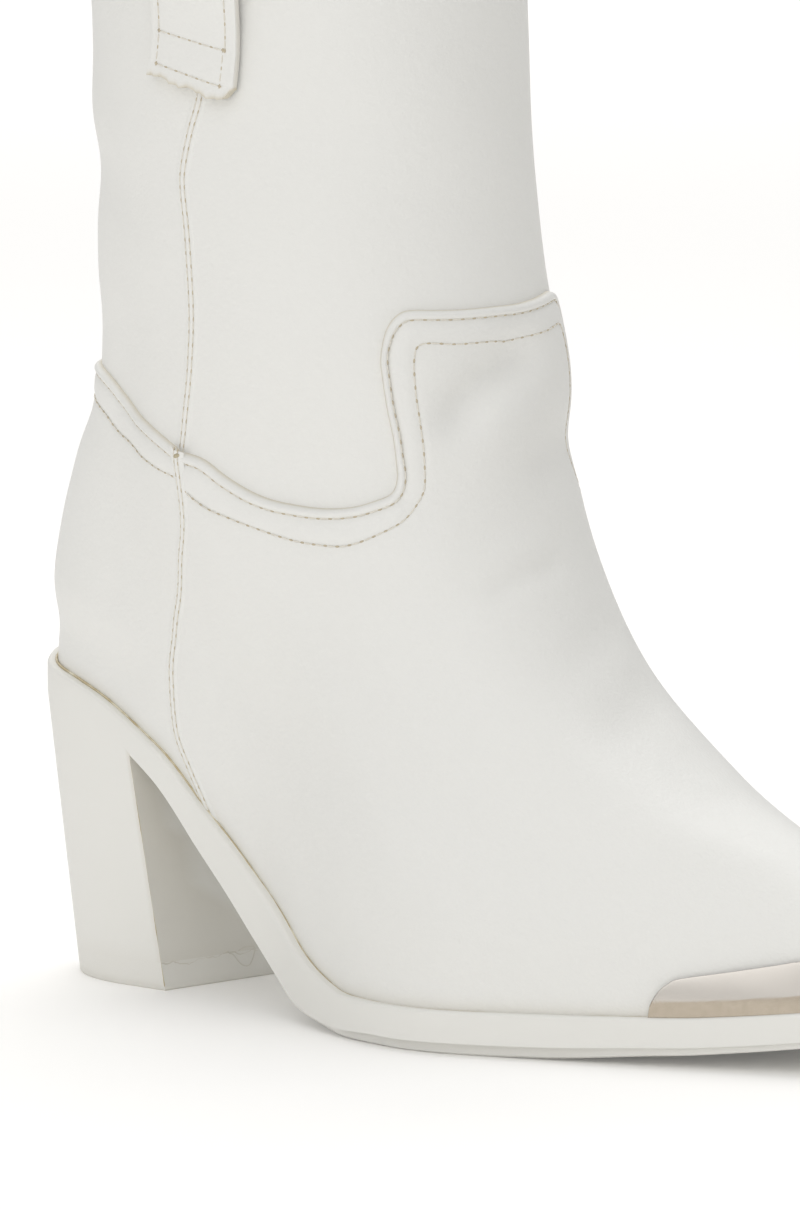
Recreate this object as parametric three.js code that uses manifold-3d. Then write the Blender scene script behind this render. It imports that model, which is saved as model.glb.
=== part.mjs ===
// Western ankle boot for the right foot, in millimetres.
// +X points to the toe, +Y to the inner side of the foot and +Z up.
// The origin is the centre of the heel's tread on the floor.

import * as THREE from 'three';
import Module from 'manifold-3d';

const wasm = await Module();
wasm.setup();

// Upper: length from heel to toe, widths at ball and shaft, and heights.
const FOOT_LENGTH = 238;
const BALL_WIDTH = 82;
const SHAFT_WIDTH = 84;
const SEAT_HEIGHT = 64;
const SHAFT_RISE = 194;
const COLLAR_DIP = 6;
// Ring from which the collar's dip starts.
const DIP_FROM = 0.75;
const TOE_SPRING = 7.8;
const WALL = 1.8;

// Overlays of the foot, the metal tip and the inner sole.
const OVERLAY = 1.2;
const CAP_WALL = 0.8;
const INSOLE = 2.5;

// Clearance between pieces that meet on curved faces.
const FIT = 0.3;

// Moulded sole: rim round the upper, side strip, recessed tread and block heel.
const RIM_HEIGHT = 4;
const RIM_ROUND = 0.8;
const LEDGE = 3.6;
const STRIP_HEIGHT = 6.6;
const TREAD_HEIGHT = 2.6;
const TREAD_INSET = 2.2;
const TREAD_BEVEL = 0.5;
const BREAST_SETBACK = 41;
const HEEL_LENGTH = 42;
const HEEL_WIDTH = 48;
const HEEL_PITCH = 3;
const TOP_PIECE = 6;
// Share of the heel's length over which its back is round, and levels down its side.
const HEEL_ROUND = 0.68;
const HEEL_LEVELS = [0.66, 0.33];

// Pull straps: width, thickness, loop over the collar and the two sewn ends.
const STRAP_WIDTH = 23.2;
const STRAP_AHEAD = 4;
const STRAP_THICK = 2.2;
const STRAP_LOOP = 12;
const STRAP_OUTSIDE = 62;
const STRAP_INSIDE = 34;
const STRAP_STAND = 4.5;
const STRAP_SLANT = 4.5;

// Rings up each shell, steps round it, along the sole, across a strap and along the side view lines.
const RINGS = 24;
const OVERLAY_RINGS = 16;
const CAP_RINGS = 8;
const ROOM_RINGS = 2;
const TURNS = 44;
const HEEL_STEPS = 9;
const FOOT_STEPS = 20;
const STRAP_STEPS = 4;
const RIM_STEPS = 36;
const EDGE_STEPS = 66;
const SEAM_STEPS = 20;
const CAP_STEPS = 22;

// The upper's outer face starts at this x, so that the heel's tread is centred on the origin.
const HEEL_BACK = -HEEL_LENGTH / 2 - HEEL_PITCH;
const COLLAR_HEIGHT = SEAT_HEIGHT + SHAFT_RISE;
const FOREFOOT_BED = STRIP_HEIGHT + TREAD_HEIGHT - RIM_HEIGHT;
const TOE_BED = FOREFOOT_BED + TOE_SPRING;
const FULL_TURN = 2 * Math.PI;
const backX = HEEL_BACK - FOOT_LENGTH;
const frontX = HEEL_BACK + 2 * FOOT_LENGTH;

// Rings of the upper's outer face, from the sole to the collar.
// up: place of the ring. backX, frontX: shares of FOOT_LENGTH ahead of the heel's back.
// backZ: share of SHAFT_RISE above the seat. frontZ: share of the height from toe bed to collar.
// sag: how far it follows the arch. sway: how far it swings with the foot.
// Second line, w0 to w10: half widths as shares of the ring's width, at the places in WIDTH_AT.
const WIDTH_AT = [0, 0.08, 0.2, 0.35, 0.45, 0.55, 0.65, 0.75, 0.85, 0.94, 1];
const FORM = [
  [0, 0, 0, 1, 0, 1, 1,
    0.678, 0.501, 0.39, 0.324, 0.398, 0.478, 0.485, 0.448, 0.378, 0.325, 0.345],
  [0.06, -0.006, 0.052, 1, 0.029, 1, 1,
    0.658, 0.499, 0.402, 0.344, 0.404, 0.486, 0.499, 0.463, 0.388, 0.31, 0.31],
  [0.13, -0.008, 0.113, 0.957, 0.069, 0.92, 0.92,
    0.632, 0.511, 0.413, 0.36, 0.396, 0.478, 0.512, 0.477, 0.41, 0.345, 0.32],
  [0.21, 0.004, 0.18, 0.866, 0.11, 0.8, 0.8,
    0.607, 0.497, 0.413, 0.366, 0.376, 0.44, 0.492, 0.469, 0.436, 0.388, 0.358],
  [0.3, 0.028, 0.258, 0.742, 0.158, 0.62, 0.62,
    0.581, 0.496, 0.424, 0.379, 0.366, 0.392, 0.456, 0.472, 0.47, 0.481, 0.489],
  [0.39, 0.054, 0.34, 0.621, 0.242, 0.42, 0.4,
    0.568, 0.507, 0.435, 0.416, 0.412, 0.414, 0.433, 0.462, 0.471, 0.498, 0.514],
  [0.48, 0.068, 0.428, 0.542, 0.373, 0.22, 0.2,
    0.554, 0.506, 0.446, 0.446, 0.446, 0.446, 0.453, 0.463, 0.478, 0.494, 0.506],
  [0.58, 0.072, 0.526, 0.516, 0.51, 0.08, 0.06,
    0.553, 0.517, 0.469, 0.469, 0.469, 0.469, 0.476, 0.483, 0.491, 0.499, 0.505],
  [0.7, 0.07, 0.649, 0.492, 0.649, 0, 0,
    0.552, 0.528, 0.492, 0.48, 0.48, 0.48, 0.487, 0.494, 0.501, 0.51, 0.516],
  [0.85, 0.065, 0.814, 0.477, 0.82, 0, 0,
    0.55, 0.538, 0.502, 0.49, 0.49, 0.49, 0.497, 0.504, 0.511, 0.52, 0.526],
  [1, 0.055, 1, 0.474, 1, 0, 0,
    0.548, 0.536, 0.512, 0.5, 0.5, 0.5, 0.507, 0.514, 0.522, 0.53, 0.536],
];

// Side view of the bed that the foot stands on.
// along: share of FOOT_LENGTH. seat: share of the seat's rise. spring: share of TOE_SPRING.
const BED = [
  [0, 1.035, 0],
  [0.025, 0.992, 0],
  [0.084, 0.942, 0],
  [0.132, 0.884, 0],
  [0.201, 0.755, 0],
  [0.228, 0.685, 0],
  [0.267, 0.554, 0],
  [0.302, 0.446, 0],
  [0.335, 0.333, 0],
  [0.374, 0.211, 0],
  [0.416, 0.097, 0],
  [0.478, 0.01, 0],
  [0.523, 0, 0],
  [0.605, 0, 0],
  [0.689, 0, 0.051],
  [0.773, 0, 0.141],
  [0.821, 0, 0.218],
  [0.899, 0, 0.474],
  [0.95, 0, 0.718],
  [1, 0, 1],
];

// Side of the sole below the rim. along: share of FOOT_LENGTH.
// strip: share of STRIP_HEIGHT. tread: share of TREAD_HEIGHT.
const SOLE_SIDE = [
  [0.000, 1.00, 0],
  [0.172, 0.93, 0],
  [0.248, 1.25, 0],
  [0.319, 1.70, 0],
  [0.357, 1.88, 0],
  [0.405, 1.75, 0],
  [0.443, 1.42, 0.15],
  [0.479, 1.18, 0.50],
  [0.534, 1.00, 0.96],
  [0.560, 1.01, 1.00],
  [0.609, 1.00, 1.00],
  [0.697, 1.00, 1.00],
  [0.782, 0.93, 0.75],
  [0.908, 0.90, 0.55],
  [1.000, 0.88, 0.50],
];

// Middle line of the foot from above. along: share of FOOT_LENGTH. swing: share of BALL_WIDTH.
const SWAY = [
  [0, 0],
  [0.143, -0.002],
  [0.294, -0.027],
  [0.353, -0.03],
  [0.479, -0.043],
  [0.563, -0.029],
  [0.605, -0.01],
  [0.668, 0.041],
  [0.731, 0.071],
  [0.84, 0.095],
  [0.903, 0.098],
  [0.962, 0.088],
  [1, 0.079],
];

// Side views of the overlay's top edge, the side seam and the tip's rear edge.
// along: share of FOOT_LENGTH ahead of the heel's back. rise: share of COLLAR_HEIGHT.
const OVERLAY_EDGE = [
  [0.030, 0.527],
  [0.070, 0.526],
  [0.105, 0.525],
  [0.129, 0.519],
  [0.141, 0.505],
  [0.156, 0.493],
  [0.181, 0.484],
  [0.225, 0.470],
  [0.269, 0.456],
  [0.298, 0.450],
  [0.325, 0.439],
  [0.351, 0.430],
  [0.380, 0.423],
  [0.410, 0.4195],
  [0.440, 0.420],
  [0.468, 0.426],
  [0.483, 0.435],
  [0.487, 0.450],
  [0.484, 0.472],
  [0.478, 0.500],
  [0.474, 0.524],
  [0.472, 0.548],
  [0.475, 0.568],
  [0.484, 0.578],
  [0.505, 0.579],
  [0.535, 0.581],
  [0.570, 0.583],
];
const SIDE_SEAM = [
  [0.269, 0.456],
  [0.271, 0.435],
  [0.272, 0.412],
  [0.269, 0.390],
  [0.260, 0.363],
  [0.245, 0.324],
  [0.236, 0.298],
  [0.230, 0.272],
  [0.231, 0.242],
  [0.236, 0.216],
  [0.248, 0.194],
  [0.266, 0.165],
];
const CAP_EDGE = [
  [0.781, 0.020],
  [0.783, 0.046],
  [0.790, 0.060],
  [0.799, 0.067],
  [0.812, 0.071],
  [0.838, 0.077],
  [0.888, 0.087],
  [0.940, 0.096],
  [1.050, 0.115],
];

// Course of a pull strap, from its sewn end outside to the one inside.
// part: 0 outside, 1 over the collar, 2 inside. reach: share of that part's length.
// stand: how far it bows off the wall, as a share of STRAP_STAND.
const STRAP_COURSE = [
  [0, 1.00, 0],
  [0, 0.78, 0],
  [0, 0.50, 0.55],
  [0, 0.22, 1],
  [0, 0, 1],
  [1, 0.62, 0.75],
  [1, 0.94, 0.30],
  [1, 1.00, 0],
  [1, 0.94, -0.30],
  [1, 0.62, -0.75],
  [2, 0, 1],
  [2, 0.30, 0.75],
  [2, 0.66, 0],
  [2, 1.00, 0],
];

// Smooth curve through the rows of a table, for one of its columns.
function along(rows, at, column) {
  const last = rows.length - 1;
  let k = 0;
  while (k < last - 1 && at > rows[k + 1][0]) k += 1;
  const slope = (i) => {
    const before = rows[Math.max(i - 1, 0)];
    const after = rows[Math.min(i + 1, last)];
    return (after[column] - before[column]) / (after[0] - before[0]);
  };
  const span = rows[k + 1][0] - rows[k][0];
  const u = (at - rows[k][0]) / span;
  const start = rows[k][column];
  const end = rows[k + 1][column];
  const ease = u * u * (3 - 2 * u);
  const bend = slope(k) * (1 - u) - slope(k + 1) * u;
  return start + (end - start) * ease + span * u * (1 - u) * bend;
}

// Height of the bed at a share of the foot's length.
function bedHeight(share) {
  const seat = along(BED, share, 1) * (SEAT_HEIGHT - FOREFOOT_BED);
  return FOREFOOT_BED + seat + along(BED, share, 2) * TOE_SPRING;
}

// Point of the upper's outer face. turn runs from the heel round the outer side to the toe and back.
function form(up, turn) {
  const share = (1 - Math.cos(turn)) / 2;
  const ring = (column) => along(FORM, up, column);
  const x = HEEL_BACK + FOOT_LENGTH * (ring(1) + (ring(3) - ring(1)) * share);
  const backZ = SEAT_HEIGHT + SHAFT_RISE * ring(2);
  const frontZ = TOE_BED + (COLLAR_HEIGHT - TOE_BED) * ring(4);
  const arch = bedHeight(share) - (SEAT_HEIGHT + (TOE_BED - SEAT_HEIGHT) * share);
  const nearCollar = Math.max(0, (up - DIP_FROM) / (1 - DIP_FROM));
  const dip = COLLAR_DIP * (nearCollar * Math.cos(turn)) ** 2;
  const z = backZ + (frontZ - backZ) * share + arch * ring(5) - dip;
  const width = BALL_WIDTH + (SHAFT_WIDTH - BALL_WIDTH) * up;
  const widths = WIDTH_AT.map((at, i) => [at, ring(7 + i)]);
  const half = Math.sin(turn) * along(widths, share, 1) * width;
  const y = along(SWAY, share, 1) * BALL_WIDTH * ring(6) - half;
  return new THREE.Vector3(x, y, z);
}

// The same face moved out, or in where the offset is negative.
function skin(up, turn, offset = 0) {
  const point = form(up, turn);
  const upStep = 0.004;
  const turnStep = 0.01;
  const rising = form(up + upStep, turn).sub(form(up - upStep, turn));
  const turning = form(up, turn + turnStep).sub(form(up, turn - turnStep));
  const outward = turning.cross(rising).normalize();
  return point.add(outward.multiplyScalar(offset));
}

// Ring on which the face stands a given height above the bed.
function ringAt(turn, height) {
  const low = form(0, turn).z;
  const step = 0.05;
  return step * height / (form(step, turn).z - low);
}

// Closed mesh as a solid for joining and cutting.
function solid(points, triangles) {
  const vertProperties = new Float32Array(points.flatMap((p) => [p.x, p.y, p.z]));
  const triVerts = new Uint32Array(triangles.flat());
  return new wasm.Manifold(new wasm.Mesh({ numProp: 3, vertProperties, triVerts }));
}

// Triangles of a grid of closed loops that follow one another.
// Loops from turnedAt on run back down, and their squares are cut along the other diagonal,
// so that two walls with one offset in common have the same facets there.
function loopGrid(loops, triangles, turnedAt = loops.length) {
  const count = loops[0].length;
  for (let r = 0; r + 1 < loops.length; r += 1) {
    for (let c = 0; c < count; c += 1) {
      const a = r * count + c;
      const b = r * count + (c + 1) % count;
      if (r < turnedAt) triangles.push([a, b, b + count], [a, b + count, a + count]);
      else triangles.push([a, b, a + count], [b, b + count, a + count]);
    }
  }
}

// Wall between two offsets of the form, from the sole up, closed by a rim at each end.
function wall(rings, inner, outer) {
  const loops = [];
  const ring = (up, offset) => {
    const loop = [];
    for (let c = 0; c < TURNS; c += 1) loop.push(skin(up, FULL_TURN * c / TURNS, offset));
    return loop;
  };
  for (let r = 0; r <= rings; r += 1) loops.push(ring(r / RINGS, outer));
  for (let r = rings; r >= 0; r -= 1) loops.push(ring(r / RINGS, inner));
  loops.push(loops[0]);
  const triangles = [];
  loopGrid(loops, triangles, rings + 1);
  const size = (loops.length - 1) * TURNS;
  return solid(loops.slice(0, -1).flat(), triangles.map((t) => t.map((i) => i % size)));
}

// Solid between loops, whose first and last are closed by strips straight across.
function stack(loops) {
  const triangles = [];
  loopGrid(loops, triangles);
  const count = loops[0].length;
  const lid = (first, up) => {
    for (let c = 0; c < count / 2; c += 1) {
      const quad = [c, c + 1, count - c - 1, (count - c) % count].map((i) => first + i);
      if (up) quad.reverse();
      if (quad[0] !== quad[3]) triangles.push([quad[0], quad[3], quad[1]]);
      if (quad[1] !== quad[2]) triangles.push([quad[1], quad[3], quad[2]]);
    }
  };
  lid(0, false);
  lid(count * (loops.length - 1), true);
  return solid(loops.flat(), triangles);
}

// Upright slice through the whole width, from a side view outline.
function slice(outline) {
  const flat = outline.map(([x, z]) => new THREE.Vector2(x, z));
  if (THREE.ShapeUtils.isClockWise(flat)) flat.reverse();
  const reach = BALL_WIDTH + SHAFT_WIDTH;
  const near = flat.map((p) => new THREE.Vector3(p.x, -reach, p.y));
  const far = flat.map((p) => new THREE.Vector3(p.x, reach, p.y));
  const faces = THREE.ShapeUtils.triangulateShape(flat, []);
  const count = flat.length;
  const triangles = [];
  faces.forEach(([a, b, c]) => triangles.push([a, b, c], [a + count, c + count, b + count]));
  for (let i = 0; i < count; i += 1) {
    const j = (i + 1) % count;
    triangles.push([i, i + count, j + count], [i, j + count, j]);
  }
  return solid([...near, ...far], triangles);
}

// Side view line through a table of along and rise.
function sideLine(rows, steps) {
  const places = rows.map(([a, r]) => new THREE.Vector2(HEEL_BACK + FOOT_LENGTH * a, COLLAR_HEIGHT * r));
  return new THREE.SplineCurve(places).getPoints(steps).map((p) => [p.x, p.y]);
}

// Everything below a side view line just above the sole's rim.
function underRim() {
  const line = [];
  for (let i = 0; i <= RIM_STEPS; i += 1) {
    const share = i / RIM_STEPS;
    line.push([HEEL_BACK + FOOT_LENGTH * share, bedHeight(share) + RIM_HEIGHT + FIT]);
  }
  const start = [backX, line[0][1]];
  const end = [frontX, line[RIM_STEPS][1]];
  return slice([start, ...line, end, [frontX, -SEAT_HEIGHT], [backX, -SEAT_HEIGHT]]);
}

// Moulded sole, as loops from the rim down. Behind the breast the wall runs on down to the tread.
const breastShare = BREAST_SETBACK / FOOT_LENGTH;
const breastTurn = Math.acos(1 - 2 * breastShare);
const soleTurns = [];
for (let i = 0; i < HEEL_STEPS; i += 1) soleTurns.push(breastTurn * i / HEEL_STEPS);
for (let i = 0; i <= FOOT_STEPS; i += 1) {
  soleTurns.push(breastTurn + (Math.PI - breastTurn) * i / FOOT_STEPS);
}
const outerCount = soleTurns.length;
for (let i = outerCount - 2; i > 0; i -= 1) soleTurns.push(FULL_TURN - soleTurns[i]);
const soleCount = soleTurns.length;

// Drop of the strip's lower edge below the rim.
function stripDrop(share) {
  return STRIP_HEIGHT * along(SOLE_SIDE, share, 1);
}

function solePoint(turn, offset, drop) {
  const up = ringAt(turn, RIM_HEIGHT);
  const inner = form(up, turn);
  const outward = skin(up, turn, 1).sub(inner).setZ(0).normalize();
  const share = (1 - Math.cos(turn)) / 2;
  const point = inner.add(outward.multiplyScalar(offset));
  point.z = bedHeight(share) + RIM_HEIGHT - drop;
  return point;
}

// Outline of the heel's tread: straight breast, round back.
function treadPoint(turn) {
  const share = (1 - Math.cos(turn)) / 2 / breastShare;
  const near = 1 - Math.min(share / HEEL_ROUND, 1);
  const side = turn > Math.PI ? 1 : -1;
  const half = HEEL_WIDTH / 2 * Math.sqrt(1 - near * near);
  return new THREE.Vector3(HEEL_LENGTH * (share - 0.5), side * half, 0);
}

// Point of the heel's side at a height, on the line from the strip to the tread.
function heelPoint(turn, height) {
  const top = solePoint(turn, LEDGE, stripDrop((1 - Math.cos(turn)) / 2));
  const point = treadPoint(turn).lerp(top, height / top.z);
  point.z = height;
  return point;
}

function makeSole() {
  const points = [];
  const columns = soleTurns.map((turn, i) => {
    const share = (1 - Math.cos(turn)) / 2;
    const strip = stripDrop(share);
    const column = [
      solePoint(turn, LEDGE - RIM_ROUND, 0),
      solePoint(turn, LEDGE, RIM_ROUND),
      solePoint(turn, LEDGE, strip),
    ];
    const fromBreast = (share - breastShare) / (1 - breastShare);
    const isHeel = fromBreast < -0.0001;
    const isBreast = Math.abs(fromBreast) <= 0.0001;
    if (isHeel || isBreast) {
      const top = column[2].z;
      HEEL_LEVELS.forEach((f) => column.push(heelPoint(turn, TOP_PIECE + (top - TOP_PIECE) * f)));
      column.push(heelPoint(turn, TOP_PIECE));
    } else {
      const tread = along(SOLE_SIDE, share, 2);
      const inset = LEDGE - TREAD_INSET * tread;
      const under = solePoint(turn, inset - TREAD_BEVEL * tread, strip + TREAD_HEIGHT * tread);
      column.push(solePoint(turn, inset, strip));
      under.z = Math.max(under.z, 0);
      column.push(under);
    }
    const ids = column.map((p) => points.push(p) - 1);
    return { ids, isHeel, isBreast };
  });
  const triangles = [];
  const quad = (a, b, c, d) => {
    if (a !== b && b !== c && a !== c) triangles.push([a, b, c]);
    if (a !== c && c !== d && a !== d) triangles.push([a, c, d]);
  };
  for (let i = 0; i < soleCount; i += 1) {
    const here = columns[i];
    const next = columns[(i + 1) % soleCount];
    const heelSide = here.isHeel || next.isHeel;
    const levels = heelSide ? 6 : 5;
    const level = (column, n) => (column.isBreast && !heelSide ? column.ids[Math.min(n, 2)] : column.ids[n]);
    for (let n = 0; n + 1 < levels; n += 1) {
      quad(level(here, n), level(here, n + 1), level(next, n + 1), level(next, n));
    }
  }
  for (let i = 0; i + 1 < outerCount; i += 1) {
    const far = (soleCount - i) % soleCount;
    const here = columns[i];
    const next = columns[i + 1];
    const hereFar = columns[far];
    const nextFar = columns[soleCount - i - 1];
    quad(here.ids[0], next.ids[0], nextFar.ids[0], hereFar.ids[0]);
    const heelSide = here.isHeel;
    const bottom = (column) => {
      if (heelSide) return column.ids[5];
      return column.isBreast ? column.ids[2] : column.ids[4];
    };
    quad(bottom(here), bottom(hereFar), bottom(nextFar), bottom(next));
    if (here.isBreast) {
      for (let n = 2; n < 5; n += 1) {
        quad(here.ids[n], here.ids[n + 1], hereFar.ids[n + 1], hereFar.ids[n]);
      }
    }
  }
  return solid(points, triangles);
}

// Room for the upper in the sole: its outer face with the clearance, from the bed up.
function makeRoom() {
  const loops = [];
  for (let r = 0; r <= ROOM_RINGS; r += 1) {
    const loop = [];
    for (let c = 0; c < TURNS; c += 1) {
      const turn = FULL_TURN * c / TURNS;
      const point = skin(r / RINGS, turn, FIT);
      if (r === 0) point.z -= FIT;
      loop.push(point);
    }
    loops.push(loop);
  }
  return stack(loops);
}

function makeInsole() {
  const loops = [0, INSOLE].map((height) => {
    const loop = [];
    for (let c = 0; c < TURNS; c += 1) {
      const turn = FULL_TURN * c / TURNS;
      const point = skin(0, turn, -WALL - 2 * FIT);
      point.z = form(0, turn).z + height;
      loop.push(point);
    }
    return loop;
  });
  return stack(loops);
}

function makeTopPiece() {
  const turns = soleTurns.filter((turn, i) => i <= HEEL_STEPS || i >= soleCount - HEEL_STEPS);
  return stack([0, TOP_PIECE].map((height) => turns.map((turn) => heelPoint(turn, height))));
}

// Cuts for the overlays, from the side.
const edge = sideLine(OVERLAY_EDGE, EDGE_STEPS);
const seam = sideLine(SIDE_SEAM, SEAM_STEPS);
const behind = edge.filter(([x]) => x < seam[0][0]);
const ahead = edge.filter(([x]) => x > seam[0][0]).reverse();

// The side seam moved along X, from the overlay's edge down to the floor.
function seamLine(dx, topZ) {
  const line = seam.slice(1).map(([x, z]) => [x + dx, z]);
  return [[seam[0][0] + dx, topZ], ...line, [line[line.length - 1][0], 0]];
}

function makeCounter() {
  const last = behind[behind.length - 1][1];
  const outline = [[backX, 0], [backX, behind[0][1]], ...behind, ...seamLine(-FIT / 2, last)];
  const shell = wall(OVERLAY_RINGS, FIT, FIT + OVERLAY);
  return shell.intersect(slice(outline)).subtract(underRim());
}

function makeVamp() {
  const first = ahead[ahead.length - 1][1];
  const outline = [[frontX, 0], [frontX, ahead[0][1]], ...ahead, ...seamLine(FIT / 2, first)];
  const shell = wall(OVERLAY_RINGS, FIT, FIT + OVERLAY);
  return shell.intersect(slice(outline)).subtract(underRim());
}

function makeCap() {
  const inside = OVERLAY + 2 * FIT;
  const top = sideLine(CAP_EDGE, CAP_STEPS).reverse();
  const outline = [[frontX, 0], [frontX, top[0][1]], ...top, [top[top.length - 1][0], 0]];
  const shell = wall(CAP_RINGS, inside, inside + CAP_WALL);
  return shell.intersect(slice(outline)).subtract(underRim());
}

// Pull strap on one side of the collar: 1 on the outer side, -1 on the inner side.
function makeStrap(side) {
  const stepTurn = 0.01;
  const perTurn = form(1, Math.PI / 2 + stepTurn).distanceTo(form(1, Math.PI / 2)) / stepTurn;
  const middle = Math.PI / 2 + STRAP_AHEAD / perTurn;
  const stepUp = 0.05;
  const perUp = (form(1, middle).z - form(1 - stepUp, middle).z) / stepUp;
  const half = STRAP_THICK / 2;
  const course = STRAP_COURSE.map(([part, reach, stand]) => {
    const bow = STRAP_STAND * stand;
    if (part === 0) return [-STRAP_OUTSIDE * reach, FIT + half + bow, reach];
    if (part === 2) return [-STRAP_INSIDE * reach, -WALL - FIT - half - bow, 0];
    const mid = -WALL / 2;
    const arm = (WALL / 2 + FIT + half + STRAP_STAND) * Math.sqrt(Math.max(0, 1 - reach * reach));
    return [STRAP_LOOP * reach, mid + arm * Math.sign(stand), 0];
  });
  const faces = course.map(([z, off, slant], i) => {
    const before = course[Math.max(i - 1, 0)];
    const after = course[Math.min(i + 1, course.length - 1)];
    const dz = after[0] - before[0];
    const doff = after[1] - before[1];
    const size = Math.hypot(dz, doff);
    const push = [-doff / size * half, dz / size * half];
    return { z, off, slant, push };
  });
  const points = [];
  const row = (face, sign) => {
    for (let c = 0; c <= STRAP_STEPS; c += 1) {
      const across = c / STRAP_STEPS - 0.5;
      const turn = middle + STRAP_WIDTH * across / perTurn;
      const facing = side > 0 ? turn : FULL_TURN - turn;
      const height = face.z + sign * face.push[0] - STRAP_SLANT * face.slant * (across + 0.5);
      const off = face.off + sign * face.push[1];
      const up = Math.min(1, 1 + height / perUp);
      const point = skin(up, facing, off);
      if (height > 0) point.z += height;
      points.push(point);
    }
  };
  faces.forEach((face) => row(face, 1));
  faces.slice().reverse().forEach((face) => row(face, -1));
  const width = STRAP_STEPS + 1;
  const rows = faces.length * 2;
  const triangles = [];
  const quad = (a, b, c, d) => {
    if (side > 0) triangles.push([a, b, c], [a, c, d]);
    else triangles.push([a, c, b], [a, d, c]);
  };
  for (let r = 0; r < rows; r += 1) {
    const next = (r + 1) % rows;
    for (let c = 0; c < STRAP_STEPS; c += 1) {
      quad(r * width + c, r * width + c + 1, next * width + c + 1, next * width + c);
    }
  }
  for (let r = 0; r + 1 < faces.length; r += 1) {
    const back = rows - 1 - r;
    quad(r * width, (r + 1) * width, (back - 1) * width, back * width);
    const end = STRAP_STEPS;
    quad(r * width + end, back * width + end, (back - 1) * width + end, (r + 1) * width + end);
  }
  return solid(points, triangles);
}

const boot = new THREE.Group();
boot.name = 'western_ankle_boot';

function addPiece(name, body, look) {
  const { numProp, vertProperties, triVerts } = body.getMesh();
  const positions = [];
  triVerts.forEach((v) => {
    positions.push(...vertProperties.slice(v * numProp, v * numProp + 3));
  });
  const geometry = new THREE.BufferGeometry();
  geometry.setAttribute('position', new THREE.Float32BufferAttribute(positions, 3));
  geometry.computeVertexNormals();
  const mesh = new THREE.Mesh(geometry, new THREE.MeshStandardMaterial(look));
  mesh.name = name;
  boot.add(mesh);
}

addPiece('unit_sole', makeSole().subtract(makeRoom()), { color: 0xdedbd2, roughness: 0.5, metalness: 0 });
addPiece('heel_top_piece', makeTopPiece(), { color: 0xd0ccc2, roughness: 0.6, metalness: 0 });
addPiece('insole', makeInsole(), { color: 0xd8cfbf, roughness: 0.8, metalness: 0 });
addPiece('upper', wall(RINGS, -WALL, 0), { color: 0xe4e4df, roughness: 0.45, metalness: 0 });
addPiece('counter', makeCounter(), { color: 0xe3e3de, roughness: 0.45, metalness: 0 });
addPiece('vamp', makeVamp(), { color: 0xe3e3de, roughness: 0.45, metalness: 0 });
addPiece('toe_cap', makeCap(), { color: 0xcdc6c0, roughness: 0.12, metalness: 1 });
addPiece('pull_strap_outer', makeStrap(1), { color: 0xe1e1dc, roughness: 0.5, metalness: 0 });
addPiece('pull_strap_inner', makeStrap(-1), { color: 0xe1e1dc, roughness: 0.5, metalness: 0 });

export default boot;
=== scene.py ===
# Western ankle boot for the right foot, dressed over its CAD part. Lengths here are in millimetres
# until a mesh is made. +X points to the toe, +Y to the inner side of the foot and +Z up.

import math

import bpy
import numpy as np
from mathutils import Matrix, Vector


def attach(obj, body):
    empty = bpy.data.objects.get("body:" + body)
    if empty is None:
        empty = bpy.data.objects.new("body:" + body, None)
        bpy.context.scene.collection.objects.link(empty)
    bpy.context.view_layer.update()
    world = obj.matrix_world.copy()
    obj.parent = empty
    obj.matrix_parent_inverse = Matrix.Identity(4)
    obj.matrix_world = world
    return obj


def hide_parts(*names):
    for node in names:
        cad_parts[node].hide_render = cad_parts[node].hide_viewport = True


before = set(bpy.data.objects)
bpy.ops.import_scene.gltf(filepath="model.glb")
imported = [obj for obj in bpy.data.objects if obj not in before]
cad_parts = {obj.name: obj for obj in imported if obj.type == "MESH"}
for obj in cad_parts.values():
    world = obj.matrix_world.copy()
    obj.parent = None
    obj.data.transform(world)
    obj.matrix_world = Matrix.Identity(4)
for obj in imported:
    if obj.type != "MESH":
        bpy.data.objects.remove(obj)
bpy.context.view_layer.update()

# Last: the wooden form that the boot is pulled over, as rings from the sole up to the collar.
# Every leather piece below is laid on this surface, so that all of them keep its shape.
FOOT_LENGTH = 238
BALL_WIDTH = 82
SHAFT_WIDTH = 84
SEAT_HEIGHT = 64
SHAFT_RISE = 194
COLLAR_DIP = 6
DIP_FROM = 0.75
TOE_SPRING = 7.8
HEEL_BACK = -24
COLLAR_HEIGHT = SEAT_HEIGHT + SHAFT_RISE
FOREFOOT_BED = 5.2
TOE_BED = FOREFOOT_BED + TOE_SPRING
WIDTH_AT = np.array([0, 0.08, 0.2, 0.35, 0.45, 0.55, 0.65, 0.75, 0.85, 0.94, 1])
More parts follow.
